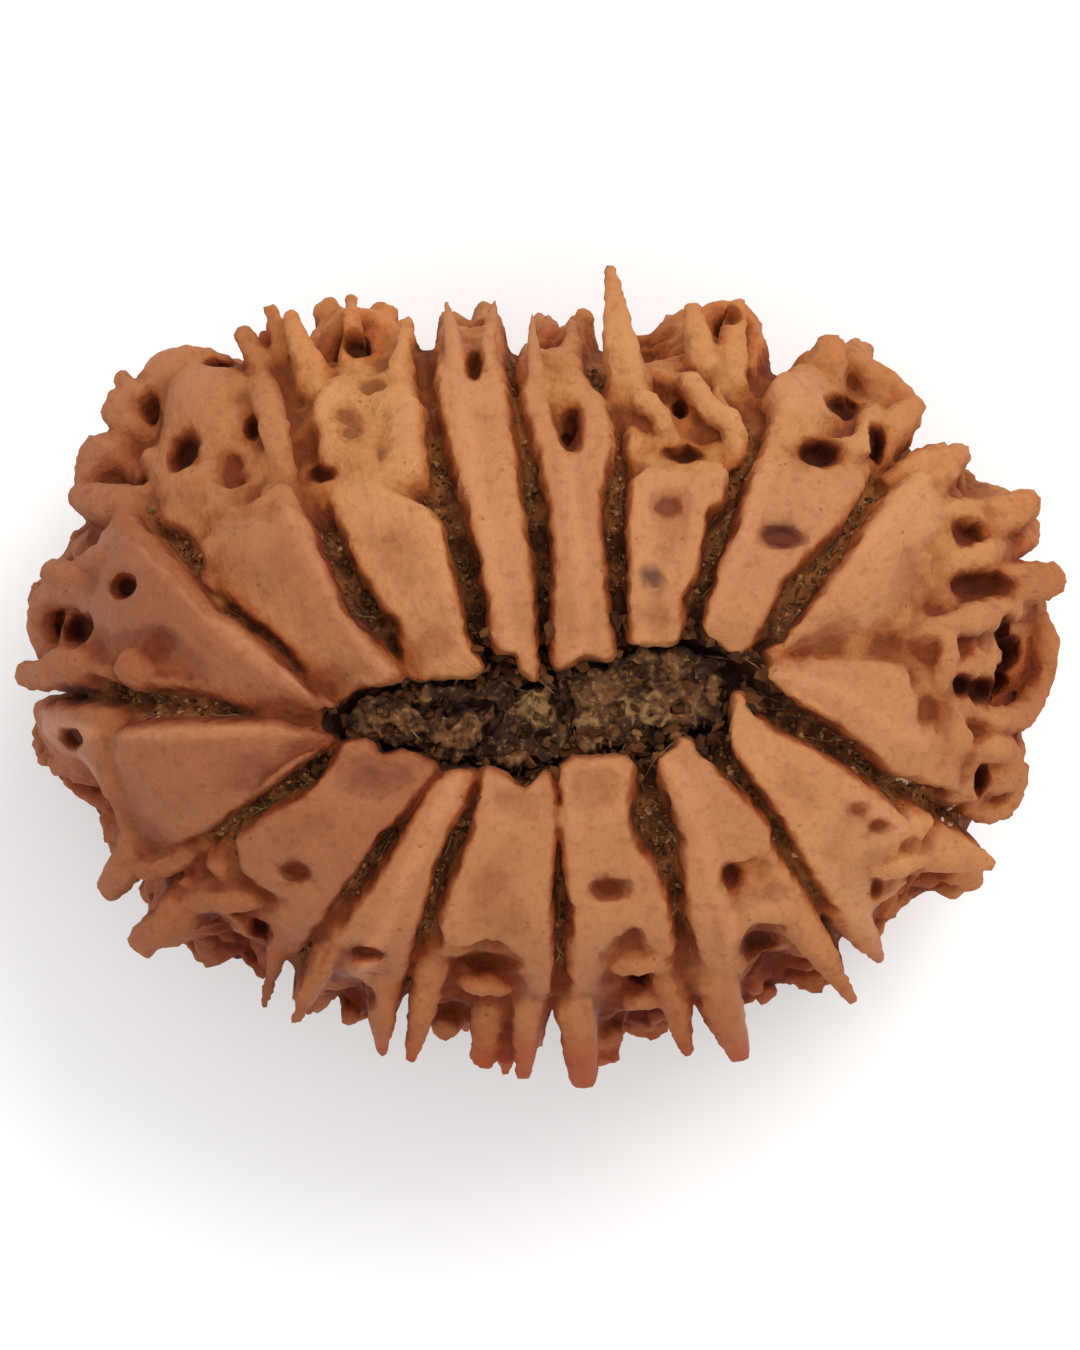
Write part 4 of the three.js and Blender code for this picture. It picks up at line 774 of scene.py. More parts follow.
# Knobs of the flanks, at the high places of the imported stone's rows
knob_random = random.Random(KNOB_SEED)
for row_number, column_number in np.argwhere(kinds == 1):
    knob_latitude = math.pi * (0.5 - row_number / (LATITUDES - 1))
    lobe_number, place = divmod(int(column_number), COLUMNS_PER_LOBE)
    first, second = (float(groove_angle(lobe_number + k, np.array(knob_latitude))) for k in (0, 1))
    knob_angle = blend(first, second, TOP_COLUMNS[place - 2])
    level = levels[row_number, column_number]
    level -= dent_at(surface_point(knob_latitude, knob_angle, 0)[None])[0]
    lean = knob_random.uniform(*KNOB_LEAN)
    drift = knob_random.uniform(-KNOB_DRIFT, KNOB_DRIFT)
    radius = knob_random.uniform(*KNOB_RADIUS)
    foot, waist, top = (level + step for step in KNOB_PLACES)
    add_bar(bars, [
        surface_point(knob_latitude - lean, knob_angle - drift, foot),
        surface_point(knob_latitude - 0.4 * lean, knob_angle, waist),
        surface_point(knob_latitude + lean, knob_angle + drift, top),
    ], [1.2 * radius, radius, knob_random.uniform(*KNOB_TIP) * radius])


def mesh_from(obj):
    """The mesh of an object with its modifiers applied; the object goes."""
    bpy.context.view_layer.update()
    shown = obj.evaluated_get(bpy.context.evaluated_depsgraph_get())
    mesh = bpy.data.meshes.new_from_object(shown)
    bpy.data.objects.remove(obj)
    return mesh


def place_object(name, data):
    obj = bpy.data.objects.new(name, data)
    bpy.context.scene.collection.objects.link(obj)
    return obj


def move_corners(mesh, corners):
    mesh.vertices.foreach_set("co", corners.ravel())
    mesh.update()


def fuse(name, mesh, voxel, soften_rounds=0):
    """A mesh fused into one skin of small cells, and softened over a number of rounds."""
    body = place_object(name, mesh)
    remesh = body.modifiers.new("fuse", "REMESH")
    remesh.mode = "VOXEL"
    remesh.voxel_size = voxel
    if soften_rounds:
        soften = body.modifiers.new("soften", "SMOOTH")
        soften.factor = 0.5
        soften.iterations = soften_rounds
    return mesh_from(body)


def thin_out(name, mesh, triangles):
    """A mesh brought down to about a number of triangles."""
    body = place_object(name, mesh)
    body.modifiers.new("thin", "DECIMATE").ratio = min(1, triangles / (2 * len(mesh.polygons)))
    return mesh_from(body)


skin_points = crest + outwards * relief[:, None]
move_corners(skin, skin_points)
bar_mesh = mesh_from(place_object("seed_stone_bars", bars))
bm = bmesh.new()
bm.from_mesh(skin)
bmesh.ops.remove_doubles(bm, verts=bm.verts, dist=0.0001)
bmesh.ops.recalc_face_normals(bm, faces=bm.faces)
bm.from_mesh(bar_mesh)
fused = fuse("seed_stone_rough", mesh_of(bm, "seed_stone_rough"), VOXEL, SOFTEN_ROUNDS)

# Fine relief on the fused stone: pores and grain, faint on the plates and rough in the hollows
crest_tree = KDTree(len(crest))
for number, point in enumerate(crest.tolist()):
    crest_tree.insert(point, number)
crest_tree.balance()


def nearest_crest(corners):
    return np.array([crest_tree.find(point)[1] for point in corners.tolist()])


def pit_marks(points, deepest):
    """How far inside a pit each point lies, 0 outside, and the direction into the pit."""
    marks = np.zeros(len(points))
    inwards = np.zeros_like(points)
    for (x, y), half_x, half_y, depth in PITS:
        centre = point_over(UPPER_POLE, x, y, 0)
        facing = direction_over(UPPER_POLE, x, y) + np.array([0, 0, PIT_UPTURN])
        facing /= np.linalg.norm(facing)
        east = np.array([1, 0, 0]) - facing * facing[0]
        east /= np.linalg.norm(east)
        north = np.cross(facing, east)
        near = np.flatnonzero(np.abs(points - centre).max(axis=1) < PIT_SEARCH)
        offset = points[near] - centre
        away = np.hypot(offset @ east / half_x, offset @ north / half_y)
        waver = PIT_WAVER * noise_at(points[near], 0.7, 15)
        away += waver + PIT_FINE_WAVER * noise_at(points[near], 0.45, 17)
        height = offset @ facing
        mark = depth * (1 - smooth_step(0.4, 1.2, away)) * smooth_step(deepest, deepest + 0.7, height)
        found = mark > marks[near]
        marks[near[found]] = mark[found]
        inwards[near[found]] = -facing
    return marks, inwards


corners = corners_of(fused)
marks, inwards = pit_marks(corners, -PIT_CUT_BELOW)
corners += inwards * (PIT_DEPTH * marks)[:, None]
under = nearest_crest(corners)
on_plate = smooth_step(0.0, 0.5, plate_distance[under])
grain = blend(*GRAIN, on_plate) * (0.5 - 2 * np.abs(noise_at(corners, 0.8, 4)))
grain += blend(*PORES, on_plate) * noise_at(corners, 0.24, 5)
corners += corners_of(fused, "normal") * grain[:, None]
move_corners(fused, corners)
stone_mesh = thin_out("seed_stone_fused", fused, STONE_TRIANGLES)

# Masks for the finish, read where each corner lies on the crests
corners = corners_of(stone_mesh)
under = nearest_crest(corners)
level = ((corners - crest[under]) * outwards[under]).sum(axis=1)
ends = np.zeros(len(stone_mesh.edges) * 2, int)
stone_mesh.edges.foreach_get("vertices", ends)
ends = ends.reshape(-1, 2)
one_way = np.concatenate([ends[:, 0], ends[:, 1]])
other_way = np.concatenate([ends[:, 1], ends[:, 0]])
neighbours = np.maximum(np.bincount(one_way, minlength=len(corners)), 1)


def eased(values, rounds):
    """Values evened out over their neighbours a number of times."""
    for _ in range(rounds):
        values = np.bincount(one_way, values[other_way], len(corners)) / neighbours
    return values


def bulge(rounds):
    """How far each corner stands out of its evened-out surroundings, in millimetres."""
    evened = np.stack([eased(corners[:, axis], rounds) for axis in range(3)], axis=1)
    return eased(((corners - evened) * corners_of(stone_mesh, "normal")).sum(axis=1), 2)


def walls_of(mesh):
    """The faces of a mesh, ready for rays and for the search for the nearest place."""
    bm = bmesh.new()
    bm.from_mesh(mesh)
    walls = BVHTree.FromBMesh(bm)
    bm.free()
    return walls


def shelter(mesh, farthest, directions):
    """How enclosed each corner is, 0 to 1, by rays cast to a distance round its normal."""
    walls = walls_of(mesh)
    steps = np.arange(directions) + 0.5
    height = 1 - 2 * steps / directions
    turn = steps * math.pi * (1 + math.sqrt(5))
    flat = np.sqrt(1 - height**2)
    rays = np.stack([flat * np.cos(turn), flat * np.sin(turn), height], axis=1)
    normals = corners_of(mesh, "normal")
    starts = corners_of(mesh) + 0.03 * normals
    closed = np.zeros(len(starts))
    total = np.full(len(starts), 1e-6)
    for ray in rays:
        facing = normals @ ray
        ahead = np.flatnonzero(facing > 0.15)
        direction = Vector(ray)
        facing_it = [Vector(start) for start in starts[ahead].tolist()]
        hits = [walls.ray_cast(start, direction, farthest)[3] for start in facing_it]
        nearness = np.array([0 if hit is None else 1 - hit / farthest for hit in hits])
        closed[ahead] += facing[ahead] * nearness
        total[ahead] += facing[ahead]
    return closed / total


ridge = np.exp(-(((across - crest_place) * lobe_width / 0.36) ** 2)) * (roof > 0) * above
ridge *= smooth_step(0, 0.35, plate_distance)
near_groove = (1 - smooth_step(0.25, 0.9, groove_distance[under])) * (1 - 0.8 * faded[under])
inner_gap = (1 - tier[under]) * above[under] * (1 - smooth_step(-0.15, 0.1, plate_distance[under]))
open_groove = np.maximum(near_groove, inner_gap) * (1 - seam[under])
plate_wall = above[under] * np.exp(-(((plate_distance[under] + 0.05) / 0.2) ** 2))
marks, _ = pit_marks(corners, -PIT_PAINT_BELOW)
masks = {
    "plate": smooth_step(-0.05, 0.35, plate_distance[under]) * smooth_step(-0.7, -0.2, level),
    # Depth below the crests, for painted shade in the hollows and for the groove fill
    "depth": np.clip(-level / 2.2, 0, 1),
    "groove": open_groove,
    "outwardness": above[under] * share[under],
    # How deep inside a pit each corner lies, for painted shade inside the pits
    "hollow": marks * smooth_step(0.2, -0.5, level),
    # How far a corner stands out or is sunk, for painted highlights on raised parts and painted shade in
    # creases
    "edge": np.clip(bulge(EDGE_ROUNDS) / EDGE_HEIGHT, -1, 1),
    "bulk": np.clip(bulge(BULK_ROUNDS) / BULK_HEIGHT, -1, 1),
    # How enclosed each corner is, for painted shade in the hollows
    "shelter": eased(shelter(stone_mesh, SHELTER_REACH, SHELTER_RAYS), 1),
    "tone": of_lobe("tone")[under],
    "wall": plate_wall * (1 - faded[under]) * (1 - 0.8 * tier[under]),
    "ridge": ridge[under],
    "slot": above[under] * (1 - smooth_step(0.02, 0.12, share[under])) * (plate_distance[under] < 0),
    "stain": stain[under],
}
for name, values in masks.items():
    stone_mesh.attributes.new(name, "FLOAT", "POINT").data.foreach_set("value", values)
round_about = (across * lobe_width + 0.3 * lump_small)[under]
fibre_run = np.stack([round_about, (FIBRE_RUN_SCALE * share)[under], corners[:, 2]], axis=1)
runs = stone_mesh.attributes.new("fibre_run", "FLOAT_VECTOR", "POINT")
runs.data.foreach_set("vector", fibre_run.ravel())

# From the plan's millimetres to the frame's metres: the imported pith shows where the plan's zero is
PITH_CORNER = Vector((-6.5, -2.8, float(crest_height(UPPER_POLE, 0)) - 2.0))
plan_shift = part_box("pith_top")[0] - PITH_CORNER * MM
floor_level = -plan_shift.z / MM
corners[:, 2] = np.maximum(corners[:, 2], floor_level)
move_corners(stone_mesh, corners)


def into_frame(mesh, smooth=True):
    mesh.transform(Matrix.Translation(plan_shift) @ Matrix.Scale(MM, 4))
    if smooth:
        mesh.shade_smooth()


into_frame(stone_mesh)
stone = place_object("seed_stone_fine", stone_mesh)


def srgb(red, green, blue):
    """A colour written as it looks on a screen, from 0 to 255, as a shader colour."""
    def linear(value):
        value /= 255
        return value / 12.92 if value <= 0.04045 else ((value + 0.055) / 1.055) ** 2.4
    return (linear(red), linear(green), linear(blue), 1)


class Look:
    """A material in the making: each method adds nodes to its tree and gives back their output."""

    def __init__(self, name, roughness, specular):
        self.material = bpy.data.materials.new(name)
        self.material.use_nodes = True
        self.tree = self.material.node_tree
        self.shader = self.tree.nodes["Principled BSDF"]
        self.shader.inputs["Roughness"].default_value = roughness
        self.shader.inputs["Specular IOR Level"].default_value = specular
        self.place = self.node("ShaderNodeTexCoord").outputs["Object"]

    def plug(self, socket, value):
        """Links a socket to an output, or sets it to a constant."""
        if isinstance(value, bpy.types.NodeSocket):
            self.tree.links.new(value, socket)
        else:
            socket.default_value = value

    def node(self, kind, settings=None, **sockets):
        made = self.tree.nodes.new(kind)
        for name, value in (settings or {}).items():
            setattr(made, name, value)
        for name, value in sockets.items():
            self.plug(made.inputs[name.replace("_", " ")], value)
        return made

    def cloud(self, scale, detail=4):
        made = self.node("ShaderNodeTexNoise", Vector=self.place, Scale=scale, Detail=detail)
        return made.outputs["Fac"]

    def mask(self, name):
        return self.node("ShaderNodeAttribute", {"attribute_name": name}).outputs["Fac"]

    def spread(self, value, low, high, to_low=0.0, to_high=1.0):
        """Maps a value smoothly from one span to another and holds it there."""
        made = self.node("ShaderNodeMapRange", {"interpolation_type": "SMOOTHSTEP"}, Value=value,
                         From_Min=low, From_Max=high, To_Min=to_low, To_Max=to_high)
        return made.outputs["Result"]

    def multiply(self, first, second):
        made = self.node("ShaderNodeMath", {"operation": "MULTIPLY", "use_clamp": True})
        self.plug(made.inputs[0], first)
        self.plug(made.inputs[1], second)
        return made.outputs[0]

    def mix(self, share, first, second, kind="MIX"):
        made = self.node("ShaderNodeMix", {"data_type": "RGBA", "blend_type": kind})
        for index, value in ((0, share), (6, first), (7, second)):
            self.plug(made.inputs[index], value)
        return made.outputs[2]

    def layered(self, colour, layers):
        """A colour with layers over it: a paint covers, a tint multiplies what is there."""
        for kind, share, over in layers:
            if kind == "paint":
                colour = self.mix(share, colour, srgb(*over))
            else:
                colour = self.mix(share, colour, (*over, 1), "MULTIPLY")
        return colour

    def bump(self, height, strength, distance, over=None):
        made = self.node("ShaderNodeBump", Strength=strength, Distance=distance, Height=height)
        if over is not None:
            self.plug(made.inputs["Normal"], over)
        return made.outputs["Normal"]

    def finished(self, colour, normal=None):
        self.plug(self.shader.inputs["Base Color"], colour)
        if normal is not None:
            self.plug(self.shader.inputs["Normal"], normal)
        return self.material


def shell_material():
    """Dried woody shell: satin tan plates with painted highlights, orange-brown hollows deepened with
    painted shade, and dark fibrous grooves.
    """
    look = Look("woody_shell", 0.5, 0.18)
    spread, multiply, mask = look.spread, look.multiply, look.mask
    patches = look.cloud(170)
    mottle = look.cloud(420)
    speckle = look.cloud(900)
    fine = look.cloud(2600, 3)
    dust = look.cloud(7000, 3)
    blush = look.cloud(290, 3)
    run = look.node("ShaderNodeAttribute", {"attribute_name": "fibre_run"}).outputs["Vector"]
    stretched = look.node("ShaderNodeMapping", Vector=run, Scale=(5, 0.7, 0.7)).outputs["Vector"]
    streaks = look.node("ShaderNodeTexNoise", Vector=stretched, Scale=1.0, Detail=4).outputs["Fac"]
    pore_distance = look.node("ShaderNodeTexVoronoi", Vector=look.place, Scale=1900).outputs["Distance"]
    split = look.node("ShaderNodeSeparateXYZ", Vector=look.place)
    x, y, z = (split.outputs[axis] for axis in "XYZ")
    edge, bulk, depth, plate = (mask(name) for name in ("edge", "bulk", "depth", "plate"))
    sheltered, outward, hollow = (mask(name) for name in ("shelter", "outwardness", "hollow"))

    # Wood: plates and the rougher tier; painted light makes the side towards the key light yellower, and
    # painted shade makes the low parts darker and redder
    plate_colour = look.mix(spread(patches, 0.35, 0.65), srgb(138, 83, 49), srgb(155, 103, 63))
    tier_colour = look.mix(spread(speckle, 0.35, 0.7), srgb(140, 76, 38), srgb(172, 114, 66))
    colour = look.mix(plate, tier_colour, plate_colour)
    # Painted light: the side towards the key light, up the picture, painted lighter and yellower, more
    # on the tier than on the plates
    lit_side = multiply(spread(y, 0.003, 0.011), spread(patches, 0.3, 0.6, 0.5, 0.95))
    lit_side = multiply(lit_side, spread(plate, 0, 1, 1, 0.5))
    # Painted shade: the low parts of the flanks, away from the light, painted darker and redder, less on
    # the plates
    low = multiply(spread(z, 0.0155, 0.008, 0, 0.7), spread(plate, 0, 1, 1, 0.35))
    colour = look.layered(colour, [
        ("paint", lit_side, (186, 134, 78)),
        ("tint", spread(blush, 0.46, 0.66, 0, 0.75), (0.86, 0.7, 0.68)),
        ("paint", spread(blush, 0.46, 0.3, 0, 0.45), (176, 122, 70)),
        ("tint", spread(streaks, 0.48, 0.7, 0, 0.6), (0.8, 0.7, 0.62)),
        ("tint", spread(mottle, 0.5, 0.7, 0, 0.7), (0.84, 0.73, 0.66)),
        ("tint", spread(speckle, 0.5, 0.72, 0, 0.4), (0.86, 0.76, 0.7)),
        ("paint", spread(speckle, 0.45, 0.3, 0, 0.25), (184, 128, 82)),
        ("paint", low, (112, 46, 19)),
    ])

    # Painted highlights on raised parts, edges and plate crests; lobes darker by their tone; redder
    # horns at the bottom, deepened by painted shade of the side away from the light; the outer rim
    # darker and paler at its left end; dark outlines of painted shade on the plate walls; painted shade
    # in the hollows, red-brown and then dark, and in the creases
    # Redder horns at the bottom, their colour deepened by painted shade of the lower side, away from the
    # key light
    tips = multiply(spread(y, -0.0076, -0.0112), spread(mottle, 0.35, 0.65, 0.75, 1))
    tips = multiply(tips, spread(bulk, -0.2, 0.6, 1, 0.4))
    # Painted highlight along the crest line of each plate's roof
    ridge_highlight = multiply(spread(mask("ridge"), 0.2, 0.9, 0, 0.55), spread(mottle, 0.3, 0.6, 0.5, 1))
    rim = multiply(spread(outward, 0.82, 0.97), spread(patches, 0.3, 0.6, 0.2, 0.8))
    rim = multiply(rim, spread(x, -0.014, -0.008, 0.2, 1))
    left_rim = multiply(spread(outward, 0.8, 0.95), spread(x, -0.0115, -0.0145, 0, 0.6))
    # Painted shade on the plate walls down into the grooves, a dark outline round the plates
    outline = multiply(spread(mask("wall"), 0.3, 0.95), spread(mottle, 0.35, 0.6, 0.3, 0.9))
    colour = look.layered(colour, [
        # Painted highlights on the parts that stand out, broad and then fine
        ("paint", spread(bulk, 0.1, 0.8, 0, 0.3), (186, 124, 76)),
        ("paint", spread(edge, 0.1, 0.7, 0, 0.45), (194, 138, 90)),
        ("tint", spread(mask("tone"), 0, 1, 1, 0), (0.6, 0.46, 0.46)),
        ("tint", tips, (0.5, 0.2, 0.09)),
        # Painted shade with the horns' red along the bottom edge of the rim
        ("paint", spread(y, -0.0118, -0.0134, 0, 0.6), (150, 58, 22)),
        ("paint", ridge_highlight, (186, 124, 84)),
        ("tint", rim, (0.86, 0.66, 0.56)),
        ("paint", left_rim, (152, 98, 70)),
        ("tint", outline, (0.74, 0.56, 0.46)),
        # Painted shade in the hollows: darker and redder with depth below the crests and with how
        # enclosed they are, red-brown and then dark
        ("tint", spread(depth, 0.15, 0.6, 0, 0.75), (0.88, 0.6, 0.42)),
        ("tint", spread(sheltered, 0.04, 0.24, 0, 0.85), (0.9, 0.63, 0.45)),
        ("paint", spread(sheltered, 0.24, 0.56, 0, 0.75), (134, 60, 21)),
        ("paint", spread(sheltered, 0.55, 0.85, 0, 0.8), (86, 34, 12)),
        # Painted shade in the creases
        ("paint", spread(edge, -0.1, -0.7, 0, 0.65), (98, 42, 15)),
    ])

    # Groove fill: dark fibrous matter, in part painted shade in the deep grooves, dark by the slot and
    # straw-brown towards the rim
    outer = spread(outward, 0.2, 0.75)
    dark_fill = look.mix(outer, srgb(66, 33, 14), srgb(108, 55, 22))
    light_fill = look.mix(outer, srgb(122, 70, 33), srgb(160, 100, 50))
    fill = look.mix(spread(speckle, 0.4, 0.62), dark_fill, light_fill)
    fill = look.mix(mask("slot"), fill, srgb(60, 32, 16))
    colour = look.mix(multiply(mask("groove"), spread(depth, 0.2, 0.5)), colour, fill)

    # Stains, painted shade inside the pits, darker with depth, pores, and the fine dust over all of it
    stained = multiply(mask("stain"), spread(patches, 0.3, 0.5, 0.5, 0.95))
    pores = multiply(spread(pore_distance, 0.18, 0.08, 0, 0.5), spread(speckle, 0.55, 0.63))
    colour = look.layered(colour, [
        ("paint", stained, (64, 26, 22)),
        # Painted shade inside the pits, red-brown and then dark with depth
        ("paint", spread(hollow, 0.02, 0.5, 0, 0.75), (122, 54, 22)),
        ("paint", spread(hollow, 0.36, 0.75, 0, 0.85), (98, 41, 16)),
        ("paint", spread(hollow, 0.6, 1, 0, 0.85), (78, 34, 15)),
        ("paint", pores, (84, 36, 17)),
        ("tint", spread(fine, 0.5, 0.72, 0, 0.6), (0.78, 0.66, 0.6)),
        ("tint", spread(dust, 0.35, 0.65, 0, 0.5), (0.88, 0.83, 0.79)),
    ])
    rough = look.mix(plate, (0.85, 0.85, 0.85, 1), (0.55, 0.55, 0.55, 1))
    look.plug(look.shader.inputs["Roughness"], rough)
    sandy = spread(plate, 0, 1, 1, 0.35)
    normal = look.bump(multiply(dust, sandy), 0.5, 0.0001)
    normal = look.bump(multiply(fine, sandy), 0.5, 0.0002, normal)
    normal = look.bump(speckle, 0.4, 0.00028, normal)
    normal = look.bump(streaks, 0.4, 0.00015, normal)
    return look.finished(colour, normal)


stone_mesh.materials.clear()
stone_mesh.materials.append(shell_material())
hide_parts("seed_stone")
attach(stone, "root")


# The upper pith. What is left of the soft pith in the slot, dried to a dark crumbly cake. It keeps
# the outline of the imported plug, with a broken surface that cracks part into three lumps.
def pith_material():
    """Dried pith: dark brown crumbs with olive lights, and painted shade in its cracks."""
    look = Look("dried_pith", 0.9, 0.2)
    spread, mask = look.spread, look.mask
    lumps = look.cloud(800, 5)
    crumbs = look.cloud(3200, 3)
    colour = look.mix(spread(lumps, 0.42, 0.6), srgb(54, 29, 16), srgb(104, 67, 38))
    colour = look.layered(colour, [
        ("paint", spread(mask("pale"), 0, 1, 0, 0.8), (144, 108, 66)),
        ("paint", spread(crumbs, 0.55, 0.72, 0, 0.6), (146, 112, 64)),
        ("paint", spread(crumbs, 0.48, 0.34, 0, 0.8), (38, 19, 10)),
        # Painted shade in the cracks
        ("paint", spread(mask("crack"), 0.2, 0.8, 0, 0.85), (44, 21, 11)),
    ])
    return look.finished(colour, look.bump(crumbs, 0.6, 0.0002))


dried_pith = pith_material()
PITH_VOXEL = 0.06
PITH_TRIANGLES = 60000
PALE_PLACES = [((-0.2, -0.9), 0.8), ((1.7, -1.6), 0.6), ((3.6, -1.1), 0.9), ((4.6, -1.9), 0.5)]
PITH_CRACKS = [
    [(-0.9, 0.4), (-0.9, -0.4), (-1.3, -1.1), (-2.3, -2.7)],
    [(0.6, 0.5), (0.7, -0.5), (0.9, -1.3), (1.1, -2.4)],
    [(-5.0, -0.3), (-3.8, -1.0), (-2.2, -0.9), (-1.1, -0.7)],
]
CRACK_HALF_WIDTH = 0.17
CRACK_DEPTH = 0.75
CRACK_WAVER = 0.35
CRACK_WAVER_SIZE = 0.6


def crack_mark(points):
    """How near points lie in plan to a crack of the pith, 0 away from them and 1 on one."""
    x = points[:, 0] + CRACK_WAVER * noise_at(points, CRACK_WAVER_SIZE, 18)
    y = points[:, 1] + CRACK_WAVER * noise_at(points, CRACK_WAVER_SIZE, 19)
    nearest = np.full(len(points), 9.0)
    for line in PITH_CRACKS:
        for start, end in zip(line, line[1:]):
            nearest = np.minimum(nearest, line_distance(x, y, start, end))
    return np.exp(-((nearest / CRACK_HALF_WIDTH) ** 2))


def crumbled_copy(name, node):
    """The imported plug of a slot, fused fine and broken up by noise."""
    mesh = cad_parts[node].data.copy()
    mesh.transform(Matrix.Scale(1 / MM, 4) @ Matrix.Translation(-plan_shift))
    bm = bmesh.new()
    bm.from_mesh(mesh)
    bmesh.ops.remove_doubles(bm, verts=bm.verts, dist=0.001)
    bmesh.ops.recalc_face_normals(bm, faces=bm.faces)
    broken = fuse(name + "_cake", mesh_of(bm, name + "_cake"), PITH_VOXEL)
    corners = corners_of(broken)
    push = 0.1 + 0.3 * noise_at(corners, 0.9, 6) + 0.25 * noise_at(corners, 0.45, 7)
    push += 0.14 * noise_at(corners, 0.2, 8) - 0.3 * cells_at(corners, 0.75)
    push -= CRACK_DEPTH * crack_mark(corners)
    corners += corners_of(broken, "normal") * push[:, None]
    move_corners(broken, corners)
    mesh = thin_out(name + "_broken", broken, PITH_TRIANGLES)
    corners = corners_of(mesh)
    pale = np.zeros(len(corners))
    for place, size in PALE_PLACES:
        away = plan_distance(corners, place) + 0.5 * noise_at(corners, 0.4, 16)
        pale = np.maximum(pale, 1 - smooth_step(0.3 * size, size, away))
    mesh.attributes.new("pale", "FLOAT", "POINT").data.foreach_set("value", pale)
    mesh.attributes.new("crack", "FLOAT", "POINT").data.foreach_set("value", crack_mark(corners))
    into_frame(mesh)
    mesh.materials.clear()
    mesh.materials.append(dried_pith)
    piece = place_object(name, mesh)
    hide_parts(node)
    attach(piece, "root")
    return mesh


frame_pith = crumbled_copy("pith_top_fine", "pith_top")


# The lower pith. The same cake in the slot that the stone lies on.
crumbled_copy("pith_base_fine", "pith_base")


# The crumbs. Bits of pulp and pith that dried in the grooves and round the pith of the upper slot:
# small flat chips, dark by the slot and straw-coloured farther out, stuck where they lie.
CRUMB_SEED = 31
GROOVE_CRUMBS = 2600
SLOT_CRUMBS = 800
WHITE_SPECKS = [(12.8, -3.7), (14.9, -5.0)]
CHIPS_IN_A_SPECK = 9
SPECK_SPREAD = 0.16
CHIP_FORM = ((0.8, 0.5, 0.25), (1.3, 1.0, 0.6))
CHIP_CLEARANCE = 0.3
CHIP_WARP = 0.4
GROOVE_CHIP = (0.05, 0.15)
SLOT_CHIP = (0.1, 0.34)
SPECK_CHIP = (0.06, 0.15)
CRUMB_SHADES = (
    (0, (50, 26, 12)), (0.35, (96, 56, 28)), (0.6, (126, 84, 46)), (0.85, (168, 120, 76)),
    (1, (214, 196, 168)),
)
dice = np.random.default_rng(CRUMB_SEED)
free_of_plates = above & (plate_distance < -0.12)
in_open_groove = free_of_plates & (reach >= 1) & (share < 0.9) & (faded < 0.5) & (seam < 0.2)
off_tier = (tier < 0.4) | (groove_distance < 0.35)
groove_spots = np.flatnonzero(in_open_groove & off_tier & (calm < 0.3))
slot_spots = np.flatnonzero(free_of_plates & (share < 0.07) & (reach > 0.45))


def chosen(spots, count):
    """Spots drawn at random, with as many on each square millimetre."""
    return dice.choice(spots, count, replace=False, p=girth[spots] / girth[spots].sum())


carriers = [walls_of(mesh) for mesh in (stone_mesh, frame_pith)]


def settled(place, clearance):
    """The place, moved to its clearance from the stone or the pith if it would hang farther off."""
    in_frame = Vector(place) * MM + plan_shift
    hits = [carrier.find_nearest(in_frame) for carrier in carriers]
    spot, facing, _, gap = min(hits, key=lambda hit: hit[3])
    if (in_frame - spot).dot(facing) > 0 and gap > clearance * MM:
        in_frame = spot + (in_frame - spot) * (clearance * MM / gap)
    return (in_frame - plan_shift) / MM


def add_chip(bm, shade_layer, place, size, shade):
    """One flat chip of twenty faces, turned at random."""
    place = settled(place, CHIP_CLEARANCE * size)
    turn = Matrix.Rotation(dice.uniform(0, 2 * math.pi), 4, Vector(dice.normal(size=3)).normalized())
    flat = Matrix.Diagonal((*(size * dice.uniform(*CHIP_FORM)), 1))
    made = bmesh.ops.create_icosphere(bm, subdivisions=1, radius=1,
                                      matrix=Matrix.Translation(place) @ turn @ flat)
    for corner in made["verts"]:
        corner.co += (corner.co - place) * dice.uniform(-CHIP_WARP, CHIP_WARP)
        corner[shade_layer] = shade


def crumb_material():
    """Chips from near black through brown to straw, by the shade kept in each."""
    look = Look("dried_crumbs", 0.95, 0.12)
    grain = look.cloud(4000, 3)
    ramp = look.node("ShaderNodeValToRGB", Fac=look.mask("shade"))
    while len(ramp.color_ramp.elements) < len(CRUMB_SHADES):
        ramp.color_ramp.elements.new(0.5)
    for element, (position, colour) in zip(ramp.color_ramp.elements, CRUMB_SHADES):
        element.position = position
        element.color = srgb(*colour)
    dusty = look.mix(look.spread(grain, 0.4, 0.7, 0, 0.4), ramp.outputs["Color"], srgb(60, 42, 30))
    return look.finished(dusty, look.bump(grain, 0.5, 0.0001))


bm = bmesh.new()
shade_layer = bm.verts.layers.float.new("shade")
for spot in chosen(groove_spots, GROOVE_CRUMBS):
    outer = min(share[spot] / 0.6, 1)
    shade = np.clip(dice.beta(1.6, 2.2) * blend(0.8, 1.15, outer), 0, 0.84)
    place = Vector(skin_points[spot] + outwards[spot] * dice.uniform(-0.05, 0.12))
    add_chip(bm, shade_layer, place, dice.uniform(*GROOVE_CHIP), shade)
for spot in chosen(slot_spots, SLOT_CRUMBS):
    place = Vector(skin_points[spot] + outwards[spot] * dice.uniform(0.2, 1.4))
    add_chip(bm, shade_layer, place, dice.uniform(*SLOT_CHIP), 0.75 * dice.beta(1.2, 2.4))
for x, y in WHITE_SPECKS:
    for _ in range(CHIPS_IN_A_SPECK):
        near = np.array([x, y]) + dice.normal(size=2) * SPECK_SPREAD
        place = Vector(point_over(UPPER_POLE, *near, dice.uniform(-0.9, -0.5)))
        add_chip(bm, shade_layer, place, dice.uniform(*SPECK_CHIP), dice.uniform(0.84, 0.97))
crumb_mesh = mesh_of(bm, "crumbs")
into_frame(crumb_mesh, smooth=False)
